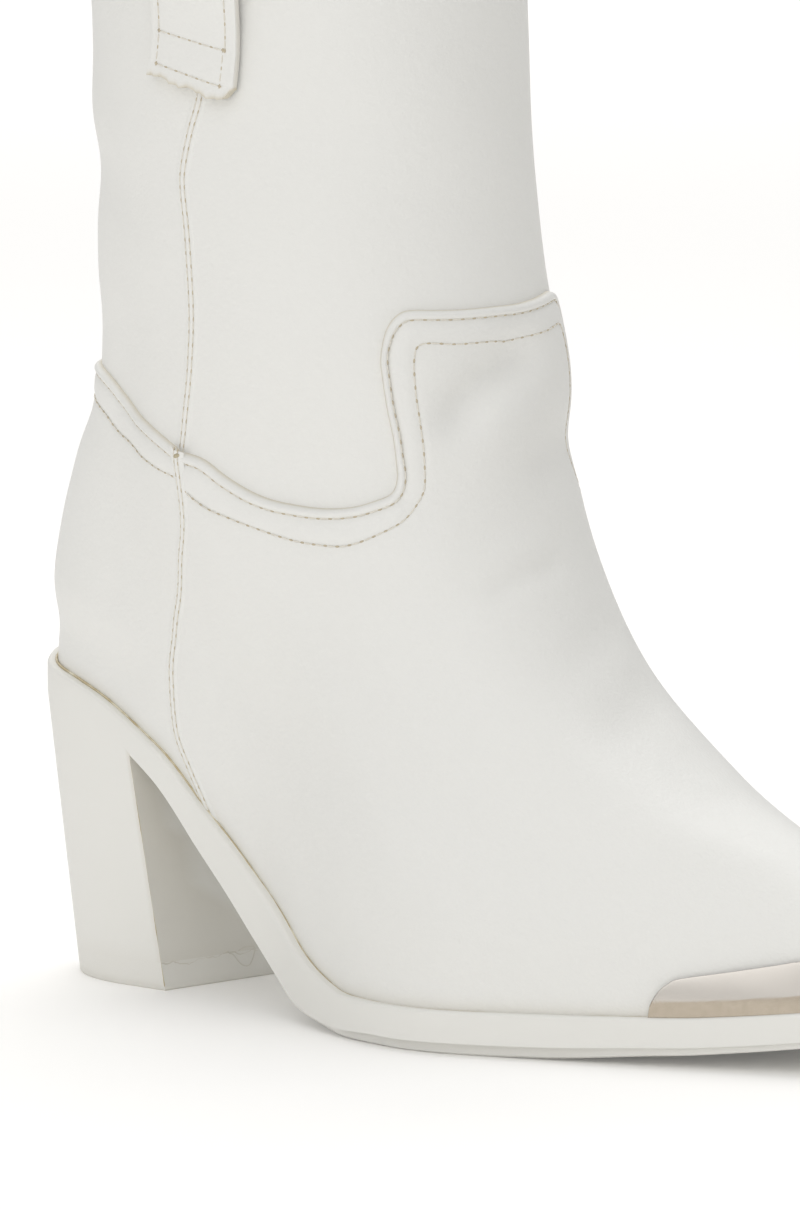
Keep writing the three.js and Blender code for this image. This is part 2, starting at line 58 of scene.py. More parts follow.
# Each ring: up, back x, back z, front x, front z, sag, sway and then its half widths.
FORM = [
    (0, 0, 0, 1, 0, 1, 1,
     0.678, 0.501, 0.39, 0.324, 0.398, 0.478, 0.485, 0.448, 0.378, 0.325, 0.345),
    (0.06, -0.006, 0.052, 1, 0.029, 1, 1,
     0.658, 0.499, 0.402, 0.344, 0.404, 0.486, 0.499, 0.463, 0.388, 0.31, 0.31),
    (0.13, -0.008, 0.113, 0.957, 0.069, 0.92, 0.92,
     0.632, 0.511, 0.413, 0.36, 0.396, 0.478, 0.512, 0.477, 0.41, 0.345, 0.32),
    (0.21, 0.004, 0.18, 0.866, 0.11, 0.8, 0.8,
     0.607, 0.497, 0.413, 0.366, 0.376, 0.44, 0.492, 0.469, 0.436, 0.388, 0.358),
    (0.3, 0.028, 0.258, 0.742, 0.158, 0.62, 0.62,
     0.581, 0.496, 0.424, 0.379, 0.366, 0.392, 0.456, 0.472, 0.47, 0.481, 0.489),
    (0.39, 0.054, 0.34, 0.621, 0.242, 0.42, 0.4,
     0.568, 0.507, 0.435, 0.416, 0.412, 0.414, 0.433, 0.462, 0.471, 0.498, 0.514),
    (0.48, 0.068, 0.428, 0.542, 0.373, 0.22, 0.2,
     0.554, 0.506, 0.446, 0.446, 0.446, 0.446, 0.453, 0.463, 0.478, 0.494, 0.506),
    (0.58, 0.072, 0.526, 0.516, 0.51, 0.08, 0.06,
     0.553, 0.517, 0.469, 0.469, 0.469, 0.469, 0.476, 0.483, 0.491, 0.499, 0.505),
    (0.7, 0.07, 0.649, 0.492, 0.649, 0, 0,
     0.552, 0.528, 0.492, 0.48, 0.48, 0.48, 0.487, 0.494, 0.501, 0.51, 0.516),
    (0.85, 0.065, 0.814, 0.477, 0.82, 0, 0,
     0.55, 0.538, 0.502, 0.49, 0.49, 0.49, 0.497, 0.504, 0.511, 0.52, 0.526),
    (1, 0.055, 1, 0.474, 1, 0, 0,
     0.548, 0.536, 0.512, 0.5, 0.5, 0.5, 0.507, 0.514, 0.522, 0.53, 0.536),
]
# Bed: share of the foot's length, share of the seat's rise, share of the toe spring.
BED = [
    (0, 1.035, 0), (0.025, 0.992, 0), (0.084, 0.942, 0), (0.132, 0.884, 0), (0.201, 0.755, 0),
    (0.228, 0.685, 0), (0.267, 0.554, 0), (0.302, 0.446, 0), (0.335, 0.333, 0), (0.374, 0.211, 0),
    (0.416, 0.097, 0), (0.478, 0.01, 0), (0.523, 0, 0), (0.605, 0, 0), (0.689, 0, 0.051),
    (0.773, 0, 0.141), (0.821, 0, 0.218), (0.899, 0, 0.474), (0.95, 0, 0.718), (1, 0, 1),
]
# Swing of the middle line to the inner side, as a share of the ball's width.
SWAY = [
    (0, 0), (0.143, -0.002), (0.294, -0.027), (0.353, -0.03), (0.479, -0.043), (0.563, -0.029),
    (0.605, -0.01), (0.668, 0.041), (0.731, 0.071), (0.84, 0.095), (0.903, 0.098), (0.962, 0.088),
    (1, 0.079),
]


def curve(rows, at):
    """Smooth curve through rows, whose first column is the place."""
    rows, at = np.asarray(rows, float), np.asarray(at, float)
    places, values = rows[:, 0], rows[:, 1:]
    last = len(rows) - 1
    k = np.clip(np.searchsorted(places, at, side="right") - 1, 0, last - 1)
    low = np.maximum(np.arange(last + 1) - 1, 0)
    high = np.minimum(np.arange(last + 1) + 1, last)
    slope = (values[high] - values[low]) / (places[high] - places[low])[:, None]
    span = (places[k + 1] - places[k])[..., None]
    u = (at - places[k])[..., None] / span
    ease = u * u * (3 - 2 * u)
    bend = slope[k] * (1 - u) - slope[k + 1] * u
    return values[k] + (values[k + 1] - values[k]) * ease + span * u * (1 - u) * bend


def bed_height(share):
    seat, spring = np.moveaxis(curve(BED, share), -1, 0)
    return FOREFOOT_BED + seat * (SEAT_HEIGHT - FOREFOOT_BED) + spring * TOE_SPRING


def last_point(up, turn):
    """Point of the last. turn runs from the heel's back round the outer side to the toe at pi."""
    up, turn = np.broadcast_arrays(np.asarray(up, float), np.asarray(turn, float))
    share = (1 - np.cos(turn)) / 2
    ring = curve(FORM, up)
    x = HEEL_BACK + FOOT_LENGTH * (ring[..., 0] + (ring[..., 2] - ring[..., 0]) * share)
    back_z = SEAT_HEIGHT + SHAFT_RISE * ring[..., 1]
    front_z = TOE_BED + (COLLAR_HEIGHT - TOE_BED) * ring[..., 3]
    arch = bed_height(share) - (SEAT_HEIGHT + (TOE_BED - SEAT_HEIGHT) * share)
    near_collar = np.maximum(0, (up - DIP_FROM) / (1 - DIP_FROM))
    dip = COLLAR_DIP * (near_collar * np.cos(turn)) ** 2
    z = back_z + (front_z - back_z) * share + arch * ring[..., 4] - dip
    widths = ring[..., 6:]
    k = np.clip(np.searchsorted(WIDTH_AT, share, side="right") - 1, 0, len(WIDTH_AT) - 2)

    def width(i):
        return np.take_along_axis(widths, i[..., None], -1)[..., 0]

    def slope(i):
        low, high = np.maximum(i - 1, 0), np.minimum(i + 1, len(WIDTH_AT) - 1)
        return (width(high) - width(low)) / (WIDTH_AT[high] - WIDTH_AT[low])

    span = WIDTH_AT[k + 1] - WIDTH_AT[k]
    u = (share - WIDTH_AT[k]) / span
    half = width(k) + (width(k + 1) - width(k)) * u * u * (3 - 2 * u)
    half = half + span * u * (1 - u) * (slope(k) * (1 - u) - slope(k + 1) * u)
    half = half * np.sin(turn) * (BALL_WIDTH + (SHAFT_WIDTH - BALL_WIDTH) * up)
    y = curve(SWAY, share)[..., 0] * BALL_WIDTH * ring[..., 5] - half
    return np.stack([x, y, z], -1)


def unit(ways):
    """The same ways with a length of one."""
    return ways / (np.linalg.norm(ways, axis=-1, keepdims=True) + 1e-9)


def last_normal(up, turn):
    turning = last_point(up, turn + 0.01) - last_point(up, turn - 0.01)
    rising = last_point(up + 0.004, turn) - last_point(up - 0.004, turn)
    return unit(np.cross(turning, rising))


def on_last(up, turn, off=0.0):
    """Point that stands off the last by that much."""
    up, turn = np.asarray(up, float), np.asarray(turn, float)
    return last_point(up, turn) + last_normal(up, turn) * np.asarray(off, float)[..., None]


def ring_at(turn, height):
    """Ring on which the last stands that high above its bed."""
    step = 0.05
    return step * height / (last_point(step, turn)[..., 2] - last_point(0, turn)[..., 2])


def run_along(path):
    """Length of a path up to each of its points."""
    return np.concatenate([[0], np.cumsum(np.linalg.norm(np.diff(path, axis=0), axis=1))])


def read_off(places, rows, at):
    """Rows between those that stand at the given places."""
    return np.column_stack([np.interp(at, places, column) for column in np.asarray(rows).T])


def through(rows, count):
    """That many points of a smooth curve through rows."""
    return curve([(i, *row) for i, row in enumerate(rows)], np.linspace(0, len(rows) - 1, count))


def in_space(line, off=0.0):
    return on_last(line[:, 1], line[:, 0], off)


def resample(line, count):
    """The same line with evenly spaced points. Its rows are (turn, up)."""
    path = through(line, len(line) * 24)
    run = run_along(in_space(path))
    return read_off(run, path, np.linspace(0, run[-1], count))


def inner_lift(turn, up):
    """How much higher the tongue's corner sits on the inner side of the foot."""
    around = np.interp(turn, [2.15, 2.45, 2.65, math.pi], [0, 1, 1, 0])
    along = np.interp(up, [0.49, 0.58, 0.64, 0.7], [0, 1, 1, 0])
    return 0.0055 * around * around * (3 - 2 * around) * along * along * (3 - 2 * along)


def mirrored(line):
    """The line on the other side of the foot."""
    turn, up = np.asarray(line, float).T
    return np.column_stack([2 * math.pi - turn, up + inner_lift(turn, up)])


def beside(line, distance):
    """The line moved sideways on the last, to its right when seen from outside."""
    turn, up = line[:, 0], line[:, 1]
    space = last_point(up, turn)
    right = np.cross(unit(np.gradient(space, axis=0)), last_normal(up, turn))
    by_turn = (last_point(up, turn + 0.002) - last_point(up, turn - 0.002)) / 0.004
    by_up = (last_point(up + 0.002, turn) - last_point(up - 0.002, turn)) / 0.004
    a, b, c = (by_turn * by_turn).sum(1), (by_turn * by_up).sum(1), (by_up * by_up).sum(1)
    p, q = (right * by_turn).sum(1), (right * by_up).sum(1)
    determinant = a * c - b * b
    move = np.column_stack([(p * c - q * b) / determinant, (q * a - p * b) / determinant])
    return line + move * np.asarray(distance, float).reshape(-1, 1)


def near_line(points, line, measure):
    """Measure of each point, from its squared distances to the points of a line in space."""
    flat = points.reshape(-1, 3)
    found = []
    for start in range(0, len(flat), 4000):
        away = ((flat[start:start + 4000, None] - line[None]) ** 2).sum(-1)
        found.append(measure(away))
    return np.concatenate(found).reshape(points.shape[:-1])


def distance_to(points, line):
    """Distance of each point to the nearest point of a line in space."""
    return np.sqrt(near_line(points, line, lambda away: away.min(1)))


def bell(value, width):
    """One at zero, fading to both sides."""
    return np.exp(-((value / width) ** 2))


# Finishes: leather, rubber, metal and thread are node materials. The two classes here let each
# section write the maths of its own finish as plain expressions, and fibre makes threads and cloths.
class Socket:
    """One output of a shader node."""

    def __init__(self, finish, link):
        self.finish = finish
        self.link = link

    def maths(self, operation, other):
        return self.finish.node("ShaderNodeMath", {"operation": operation}, {0: self, 1: other})

    def __add__(self, other):
        return self.maths("ADD", other)

    def __mul__(self, other):
        return self.maths("MULTIPLY", other)

    __radd__ = __add__
    __rmul__ = __mul__


class Finish:
    """A material whose nodes are added one by one."""

    def __init__(self, name):
        self.material = bpy.data.materials.new(name)
        self.material.use_nodes = True
        self.tree = self.material.node_tree
        self.tree.nodes.clear()
        self.place = self.node("ShaderNodeTexCoord", {}, {}, "Object")

    def node(self, kind, settings, sockets, output=0):
        made = self.tree.nodes.new(kind)
        for key, value in settings.items():
            if key == "stops":
                ramp = made.color_ramp.elements
                ramp[0].position, ramp[0].color = value[0]
                ramp[1].position, ramp[1].color = value[-1]
                for position, colour in value[1:-1]:
                    ramp.new(position).color = colour
            else:
                setattr(made, key, value)
        for key, value in sockets.items():
            if isinstance(value, Socket):
                self.tree.links.new(value.link, made.inputs[key])
            else:
                made.inputs[key].default_value = value
        return Socket(self, made.outputs[output])

    def noise(self, scale, detail=3.0, roughness=0.5):
        sockets = {"Vector": self.place, "Scale": scale, "Detail": detail, "Roughness": roughness}
        return self.node("ShaderNodeTexNoise", {}, sockets, "Fac")

    def cells(self, scale):
        sockets = {"Vector": self.place, "Scale": scale}
        return self.node("ShaderNodeTexVoronoi", {"feature": "SMOOTH_F1"}, sockets, "Distance")

    def blend(self, factor, first, second):
        settings = {"data_type": "RGBA"}
        return self.node("ShaderNodeMix", settings, {0: factor, 6: first, 7: second}, 2)

    def ramp(self, value, stops):
        return self.node("ShaderNodeValToRGB", {"stops": stops}, {"Fac": value}, "Color")

    # Mask of darker colour: dirt and a glue stain in places, painted shade and a painted reflection
    # in others.
    def grime(self):
        return self.node("ShaderNodeAttribute", {"attribute_name": "grime"}, {}, "Fac")

    def bump(self, height, strength, distance, under=None):
        sockets = {"Height": height, "Strength": strength, "Distance": distance}
        if under is not None:
            sockets["Normal"] = under
        return self.node("ShaderNodeBump", {}, sockets, "Normal")

    def surface(self, **sockets):
        named = {key.replace("_", " "): value for key, value in sockets.items()}
        shader = self.node("ShaderNodeBsdfPrincipled", {}, named, "BSDF")
        output = self.tree.nodes.new("ShaderNodeOutputMaterial")
        self.tree.links.new(shader.link, output.inputs["Surface"])


def fibre(name, noise, light, dark, roughness, bump):
    """Finish of cloth or thread: two colours mixed by a fine noise, which is felt as well."""
    finish = Finish(name)
    strands = finish.noise(*noise)
    finish.surface(
        Base_Color=finish.blend(strands, light, dark),
        Roughness=roughness[0] + roughness[1] * strands,
        Normal=finish.bump(strands, *bump),
    )
    return finish


# Upper: the shaft and the foot are one shell of smooth white coated leather with a pale lining.
# Its collar is turned in and held by one row of stitches.
WALL = 1.8
TURNED_IN = 9.5
COLLAR_DENT = 0.25
# Shaft's height near the collar for one whole step of up.
PER_RING = 190
RIPPLE_SIZE = 40
RIPPLE_HEIGHT = 0.3
FOLD_POINTS = 50
UPPER_TURNS = 264
LIP_STEPS = 6
leather = Finish("white_coated_leather")
grain = leather.cells(1500.0)
pebble = leather.noise(620.0, 4.0, 0.6)
cloud = leather.noise(26.0, 3.0)
tone = leather.blend(cloud * 0.5, (0.8, 0.795, 0.765, 1), (0.765, 0.758, 0.722, 1))
# The mask blends tan brown into the leather: dirt, a glue stain and a raw cut end, and painted shade
# in the crevices of the folded edge and seams and along the strap's edges.
tone = leather.blend(leather.grime() * 0.6, tone, (0.52, 0.44, 0.27, 1))
fine = leather.bump(grain + pebble * 1.6, 0.26, 0.00024)
soft = leather.bump(leather.noise(75.0, 2.0), 0.16, 0.0012, fine)
leather.surface(
    Base_Color=tone,
    Roughness=0.44 + 0.14 * leather.noise(180.0, 3.0) + 0.1 * leather.grime(),
    Normal=soft,
    IOR=1.46,
)
LINING = (0.72, 0.68, 0.6, 1), (0.6, 0.56, 0.48, 1)
lining = fibre("pale_lining", (1100.0, 2.0), *LINING, (0.8, 0.1), (0.3, 0.0003))


def sheet_faces(rows, columns, closed=False):
    """Squares of a grid of points, row after row."""
    reach = columns if closed else columns - 1
    r, c = np.meshgrid(np.arange(rows - 1), np.arange(reach), indexing="ij")
    d = (c + 1) % columns
    squares = [r * columns + c, r * columns + d, (r + 1) * columns + d, (r + 1) * columns + c]
    return np.stack(squares, -1).reshape(-1, 4)


def put(name, data):
    """An object of the scene that holds the data."""
    made = bpy.data.objects.new(name, data)
    bpy.context.scene.collection.objects.link(made)
    return made


def make_piece(name, points, faces, finishes, which=None, sharp=40, grime=0.0):
    """A mesh that rides on the part, with its finish from one of the record's slots."""
    mesh = bpy.data.meshes.new(name)
    points = np.asarray(points, float).reshape(-1, 3)
    mesh.from_pydata((points * 0.001).tolist(), [], [list(map(int, f)) for f in faces])
    for finish in finishes:
        mesh.materials.append(finish.material)
    if which is not None:
        mesh.polygons.foreach_set("material_index", np.asarray(which, np.int32))
    mesh.polygons.foreach_set("use_smooth", np.ones(len(mesh.polygons), bool))
    # Per point mask of darker colour, which holds dirt and also painted shade and a painted
    # reflection.
    layer = mesh.attributes.new("grime", "FLOAT", "POINT")
    layer.data.foreach_set("value", np.float32(np.zeros(len(points)) + np.ravel(grime)))
    mesh.set_sharp_from_angle(angle=math.radians(sharp))
    mesh.update()
    piece = put(name, mesh)
    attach(piece, "root")
    return piece


def ripple(points, size, seed):
    """Soft unevenness of leather between -1 and 1, from a few waves in space."""
    rng = np.random.default_rng(seed)
    total = np.zeros(points.shape[:-1])
    for _ in range(7):
        way = rng.normal(size=3)
        way /= np.linalg.norm(way)
        phase = points @ way * 2 * math.pi / (size * rng.uniform(0.7, 1.5))
        total += np.sin(phase + rng.uniform(0, 6.3))
    return total / 4


# Folds of the worn leather: a line of (turn, up), then width and height.
FOLDS = [
    ([(3.3, 0.588), (3.096, 0.579), (2.988, 0.57), (2.857, 0.556), (2.75, 0.54)], 5.2, -3.6),
    ([(3.24, 0.55), (3.06, 0.545), (2.92, 0.533), (2.82, 0.518)], 7.0, 0.8),
    ([(3.85, 0.518), (3.6, 0.522), (3.4, 0.519), (3.24, 0.508)], 6.0, -1.3),
    ([(3.8, 0.484), (3.5, 0.486), (3.25, 0.478)], 8.0, 0.4),
    ([(3.4, 0.566), (3.75, 0.564), (4.1, 0.558)], 16.0, 1.7),
    ([(3.2, 0.456), (3.063, 0.4535), (2.925, 0.4492), (2.766, 0.4414)], 2.4, -0.7),
    ([(3.2, 0.47), (3.063, 0.4665), (2.925, 0.4622), (2.8, 0.456)], 4.0, 0.5),
    ([(2.8, 0.447), (2.62, 0.437), (2.45, 0.43)], 6.0, -0.6),
    ([(3.45, 0.42), (3.2, 0.412), (3.0, 0.4)], 6.0, -0.8),
    ([(3.55, 0.38), (3.25, 0.372), (3.05, 0.358), (2.9, 0.345)], 7.0, -0.8),
    ([(0.1, 0.64), (0.7, 0.645), (1.1, 0.655)], 7.0, -0.4),
    ([(0.2, 0.705), (0.8, 0.7), (1.3, 0.69)], 8.0, 0.7),
    ([(0.3, 0.585), (0.9, 0.59), (1.4, 0.6)], 7.0, 0.6),
    ([(0.1, 0.53), (0.6, 0.535), (1.1, 0.54)], 9.0, 0.9),
    ([(-0.2, 0.355), (0.3, 0.364), (0.5, 0.374), (0.7, 0.393), (1.0, 0.41)], 7.5, -1.1),
    ([(-0.2, 0.07), (0.3, 0.075), (0.6, 0.085), (0.9, 0.1)], 6.5, -1.1),
    ([(2.0, 0.8), (2.5, 0.72), (2.9, 0.66)], 14.0, -0.5),
    ([(0.78, 0.185), (0.84, 0.175)], 4.0, -0.5),
]


def crease(points, line, width):
    """Share of a fold felt at each point: whole along its line, fading out beyond the ends."""
    felt = near_line(points, line, lambda away: np.exp(-away / width ** 2).sum(1))
    spacing = np.linalg.norm(np.diff(line, axis=0), axis=1).mean()
    return felt * spacing / (math.sqrt(math.pi) * width)


def relief(up, turn):
    """Height of the folds and of the soft unevenness that all the leather shares."""
    space = last_point(up, turn)
    height = RIPPLE_HEIGHT * ripple(space, RIPPLE_SIZE, 5) * np.clip(np.asarray(up) * 10, 0, 1)
    for line, width, lift in FOLDS:
        height = height + lift * crease(space, in_space(resample(line, FOLD_POINTS)), width)
    return height


upper_rings = np.concatenate([np.linspace(0, 0.36, 30), np.linspace(0.366, 0.992, 150)])
upper_turns = np.arange(UPPER_TURNS) * 2 * math.pi / UPPER_TURNS
rings, turns = np.meshgrid(upper_rings, upper_turns, indexing="ij")
turned_line = COLLAR_DENT * bell((1 - rings) * PER_RING - TURNED_IN, 2.2)
outside = on_last(rings, turns, relief(rings, turns) - turned_line)
lip = []
for step in range(LIP_STEPS + 1):
    swing = math.pi * step / LIP_STEPS
    off = -WALL / 2 + WALL / 2 * math.cos(swing)
    edge = on_last(1, upper_turns, off)
    edge[:, 2] -= WALL / 2 * (1 - math.sin(swing))
    lip.append(edge)
inner_rings, inner_turns = np.meshgrid(np.linspace(0.985, 0, 46), upper_turns, indexing="ij")
inner_off = relief(inner_rings, inner_turns) * (1 - inner_rings ** 8) - WALL
inside = on_last(inner_rings, inner_turns, inner_off)
upper_points = np.concatenate([outside, np.array(lip), inside])
rows = len(upper_points)
faces = sheet_faces(rows + 1, UPPER_TURNS, closed=True) % (rows * UPPER_TURNS)
lined = (np.arange(rows) >= len(upper_rings) + 4).repeat(UPPER_TURNS)
finishes = [leather, lining]
upper = make_piece("upper_shell", upper_points, faces, finishes, which=lined)
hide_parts("upper")

# Side seams: on each side the front and the back of the upper are sewn together, with a narrow
# raised welt between two rows of stitches, from under the pull strap down to the sole.
SIDE_SEAM = [
    (1.63, 1), (1.66, 0.88), (1.7, 0.79), (1.709, 0.7553), (1.637, 0.7199),
    (1.58, 0.6878), (1.566, 0.6684), (1.568, 0.6371), (1.553, 0.5825), (1.532, 0.5484),
    (1.499, 0.5181), (1.442, 0.4853), (1.398, 0.4641), (1.388, 0.448), (1.376, 0.4292),
    (1.348, 0.4102), (1.269, 0.3696), (1.159, 0.2941), (1.102, 0.2387), (1.059, 0.1856),
    (1.034, 0.1226), (1.026, 0.0826), (1.048, 0.0592), (1.085, 0.031), (1.105, 0.016),
]
seam_line = resample(SIDE_SEAM, 460)


def welt(name, line, profile, base, width=1.0, grime=0.0):
    """Leather strip on both sides of the foot, from rows of (distance to the right, height)."""
    count = len(line)
    squares = sheet_faces(len(profile), count)
    strips, faces = [], []
    for side, path in ((1, line), (-1, mirrored(line))):
        faces.append(squares[:, ::-side] + len(strips) * count)
        for across, height in profile:
            moved = beside(path, across * side * np.broadcast_to(width, count))
            lift = base + height + relief(moved[:, 1], moved[:, 0])
            strips.append(in_space(moved, lift))
    points, faces = np.concatenate(strips), np.concatenate(faces)
    make_piece(name, points, faces, [leather], grime=grime)


# Overlay: a second layer of leather covers the foot. Its top edge is folded over into a padded roll
# and sewn down by two rows of stitches, and it rises to a square tongue in front.
OVERLAY = 1.2
FIT = 0.3
RIM_HEIGHT = 4
OVERLAY_EDGE = [
    (0, 0.4053), (0.3, 0.413), (0.55, 0.424), (0.68, 0.4296), (0.755, 0.4322),
    (0.826, 0.434), (0.9, 0.435), (1.018, 0.44), (1.233, 0.4571), (1.41, 0.4668),
    (1.533, 0.4726), (1.641, 0.4688), (1.745, 0.4663), (1.842, 0.466), (1.943, 0.468),
    (2.075, 0.4718), (2.206, 0.4776), (2.318, 0.4846), (2.424, 0.4929), (2.466, 0.503),
    (2.475, 0.5149), (2.476, 0.5282), (2.463, 0.5452), (2.457, 0.5632), (2.46, 0.5779),
    (2.493, 0.5942), (2.533, 0.6045), (2.586, 0.6118), (2.648, 0.6146), (2.753, 0.6158),
    (2.862, 0.6168), (2.98, 0.618), (3.09, 0.6188), (3.142, 0.619),
]
ROLL = 1.9
NARROW_ROLL = 1.3
UNDER_ROLL = 1.4
SEAM_TOP = 0.467
GLUE_STAIN = 0.22
EVENINGS = 900
SECOND_ROW = [
    (0, 0.369), (0.3, 0.3765), (0.5, 0.3825), (0.709, 0.3895), (0.88, 0.394),
    (1.083, 0.4149), (1.345, 0.4439), (1.437, 0.4431), (1.577, 0.4444), (1.737, 0.4458),
    (1.901, 0.4469), (2.055, 0.4507), (2.16, 0.4549), (2.31, 0.4658), (2.454, 0.478),
    (2.555, 0.4928), (2.591, 0.5028), (2.609, 0.5224), (2.608, 0.5396), (2.602, 0.5589),
    (2.614, 0.5805), (2.663, 0.5913), (2.838, 0.5927), (3.03, 0.5948), (3.142, 0.5945),
]
edge_line = resample(OVERLAY_EDGE, 520)
edge_line[-1, 0] = math.pi
roll_rings = [0.49, 0.52, 0.585, 0.612]
roll_width = np.interp(edge_line[:, 1], roll_rings, [ROLL, NARROW_ROLL, NARROW_ROLL, ROLL])
first_row = beside(edge_line, roll_width)
second_row = resample(SECOND_ROW, 400)


def both_sides(line):
    return np.concatenate([line, mirrored(line)])


crossing = seam_line[np.argmin(np.abs(seam_line[:, 1] - SEAM_TOP))]
seam_start = int(np.argmin(np.abs(edge_line[:, 0] - crossing[0])))
seam_top = edge_line[seam_start]
seam_below = seam_line[seam_line[:, 1] < seam_top[1] - 0.004]


def sole_line(turn):
    return np.column_stack([turn, ring_at(turn, RIM_HEIGHT + 0.05)])


def fill_between(top, bottom, left, right, rows):
    """Grid of (turn, up) between four lines, evened out like a soap film."""
    s = np.linspace(0, 1, len(top))[None, :, None]
    t = np.linspace(0, 1, rows)[:, None, None]
    left, right = (pick(line, rows)[:, None] for line in (left, right))
    top_bow = top - ((1 - s) * top[0] + s * top[-1])
    bottom_bow = bottom - ((1 - s) * bottom[0] + s * bottom[-1])
    grid = (1 - t) * top_bow + t * bottom_bow + (1 - s) * left + s * right
    grid[0], grid[-1], grid[:, 0], grid[:, -1] = top, bottom, left[:, 0], right[:, 0]
    for _ in range(EVENINGS):
        around = grid[:-2, 1:-1] + grid[2:, 1:-1] + grid[1:-1, :-2] + grid[1:-1, 2:]
        grid[1:-1, 1:-1] = around / 4
    return grid


def pick(line, count):
    """That many points of a line, spaced as its own points are."""
    return read_off(np.arange(len(line)), line, np.linspace(0, len(line) - 1, count))


def overlay_half(edge, front, bottom_turns, rows):
    """Grid of half an overlay, from its edge to the sole and from the seam to the foot's middle."""
    middle, side = (-1, 0) if front else (0, -1)
    tucked = beside(edge, UNDER_ROLL)
    tucked[middle] = edge[middle, 0], edge[middle, 1] - 0.004
    bottom = sole_line(bottom_turns)
    centre = np.linspace(tucked[middle], (edge[middle, 0], bottom[middle, 1]), rows)
    seam = resample(np.vstack([tucked[side], seam_below[:-1], bottom[side]]), rows)
    left, right = (seam, centre) if front else (centre, seam)
    return fill_between(tucked, bottom, left, right, rows)


VAMP_COLUMNS, VAMP_ROWS = 176, 140
COUNTER_COLUMNS, COUNTER_ROWS = 84, 96
foot_bottom = seam_below[-1, 0]
spread = np.interp(np.linspace(0, 1, VAMP_COLUMNS), [0, 0.5, 0.72, 1], [0, 0.64, 0.82, 1])
front_turns = foot_bottom + (math.pi - foot_bottom) * spread
front_edge = resample(edge_line[seam_start:], VAMP_COLUMNS)
front_edge[-1, 0] = math.pi
vamp_half = overlay_half(front_edge, True, front_turns, VAMP_ROWS)
back_turns = foot_bottom * np.linspace(0, 1, COUNTER_COLUMNS)
back_edge = resample(edge_line[:seam_start + 1], COUNTER_COLUMNS)
back_edge[0, 0] = 0
counter_half = overlay_half(back_edge, False, back_turns, COUNTER_ROWS)


def overlay_off(grid):
    """Height of the overlay above the last with its sewn lines and seam, and the dirt and painted
    shade along them.
    """
    turn, up = grid[..., 0], grid[..., 1]
    space = last_point(up, turn)
    to_edge = distance_to(space, in_space(both_sides(edge_line)))
    to_seam = distance_to(space, in_space(both_sides(seam_line)))
    off = OVERLAY + FIT + relief(up, turn) - 0.9 * bell(to_edge, 1.5) - 0.3 * bell(to_seam, 1.1)
    off += 0.16 * bell(to_edge - 5.6, 2.2)
    for row, depth, width in ((first_row, 0.3, 0.9), (second_row, 0.28, 1.0)):
        off -= depth * bell(distance_to(space, in_space(both_sides(row))), width)
    above_bed = RIM_HEIGHT * up / ring_at(turn, RIM_HEIGHT)
    # Darker along the folded edge and the seam: dirt, with painted shade in their crevices. The glue
    # stain above the sole is real.
    grime = 0.2 * bell(to_edge, 1.4) + 0.1 * bell(to_seam, 0.9)
    grime += GLUE_STAIN * bell(above_bed - RIM_HEIGHT, 2.2)
    return off, grime


def lay_overlay(name, half, node, front):
    """Both halves of an overlay as one sheet over the last."""
    other = half[:, ::-1].copy()
    other[..., 1] += inner_lift(other[..., 0], other[..., 1])
    other[..., 0] = 2 * math.pi - other[..., 0]
    first, second = (half, other) if front else (other, half)
    grid = np.concatenate([first, second[:, 1:]], 1)
    off, grime = overlay_off(grid)
    points = on_last(grid[..., 1], grid[..., 0], off)
    faces = sheet_faces(*grid.shape[:2])[:, ::-1]
    piece = make_piece(name, points, faces, [leather], grime=grime)
    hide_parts(node)


lay_overlay("foot_overlay", vamp_half, "vamp", True)
lay_overlay("heel_overlay", counter_half, "counter", False)
# Section of the roll: share of its width, height, and dirt with painted shade in the crevices at its
# feet.
EDGE_ROLL = [
    (-0.18, -0.4, 0.9), (-0.1, 0.05, 0.9), (-0.02, 0.45, 0.5), (0.08, 0.92, 0.1),
    (0.24, 1.32, 0.0), (0.46, 1.58, 0.0), (0.68, 1.58, 0.0), (0.86, 1.38, 0.05),
    (1.02, 1.1, 0.25), (1.12, 0.85, 0.2),
]
roll_profile = [(across, height) for across, height, _ in EDGE_ROLL]
# Third column: dirt, and painted shade in the crevices beside the roll.
roll_dirt_and_shade = np.tile(np.repeat([soil_and_shade for _, _, soil_and_shade in EDGE_ROLL], len(edge_line)), 2)
welt("folded_edge", edge_line, roll_profile, 0.0, width=roll_width, grime=roll_dirt_and_shade)
above = seam_line[seam_line[:, 1] > seam_top[1] - 0.006]
below = seam_line[seam_line[:, 1] < seam_top[1] + 0.002]
SEAM_HALF = [(0, 0.38), (0.3, 0.32), (0.62, 0.08), (1.0, 0.24), (1.5, 0.12), (2.4, -0.16)]
SEAM_ROLL = [(-across, height) for across, height in SEAM_HALF[:0:-1]] + SEAM_HALF
welt("shaft_seam", above, SEAM_ROLL, 0.0)
welt("foot_seam", below, SEAM_ROLL, OVERLAY + FIT)

# Stitches: every row is sewn with beige thread a little under 0.4 mm thick, one stitch in 2.75 mm.
# The needle's holes between the stitches are dark beads of painted shade, and a knot lies where each
# side seam ends.
THREAD = 0.19
STITCH = 2.75
HOLE = (0.52, 0.23, 0.2)
KNOT = (1.0, 0.5, 0.35)
COLLAR_ROW = 3.2
SEAM_ROW = 0.62
BEIGE = (0.79, 0.765, 0.7, 1), (0.68, 0.64, 0.55, 1)
thread = fibre("beige_thread", (3200.0, 2.0), *BEIGE, (0.62, 0.2), (0.5, 0.0002))
# Painted shade: the brown of the beads that fill the needle's holes stands in for the shade inside
# them.
hole_shade = Finish("needle_hole_shade")
hole_shade.surface(
    Base_Color=hole_shade.blend(hole_shade.noise(900.0), (0.48, 0.41, 0.29, 1), (0.6, 0.53, 0.4, 1)),
    Roughness=0.85 + 0.1 * hole_shade.noise(500.0),
)


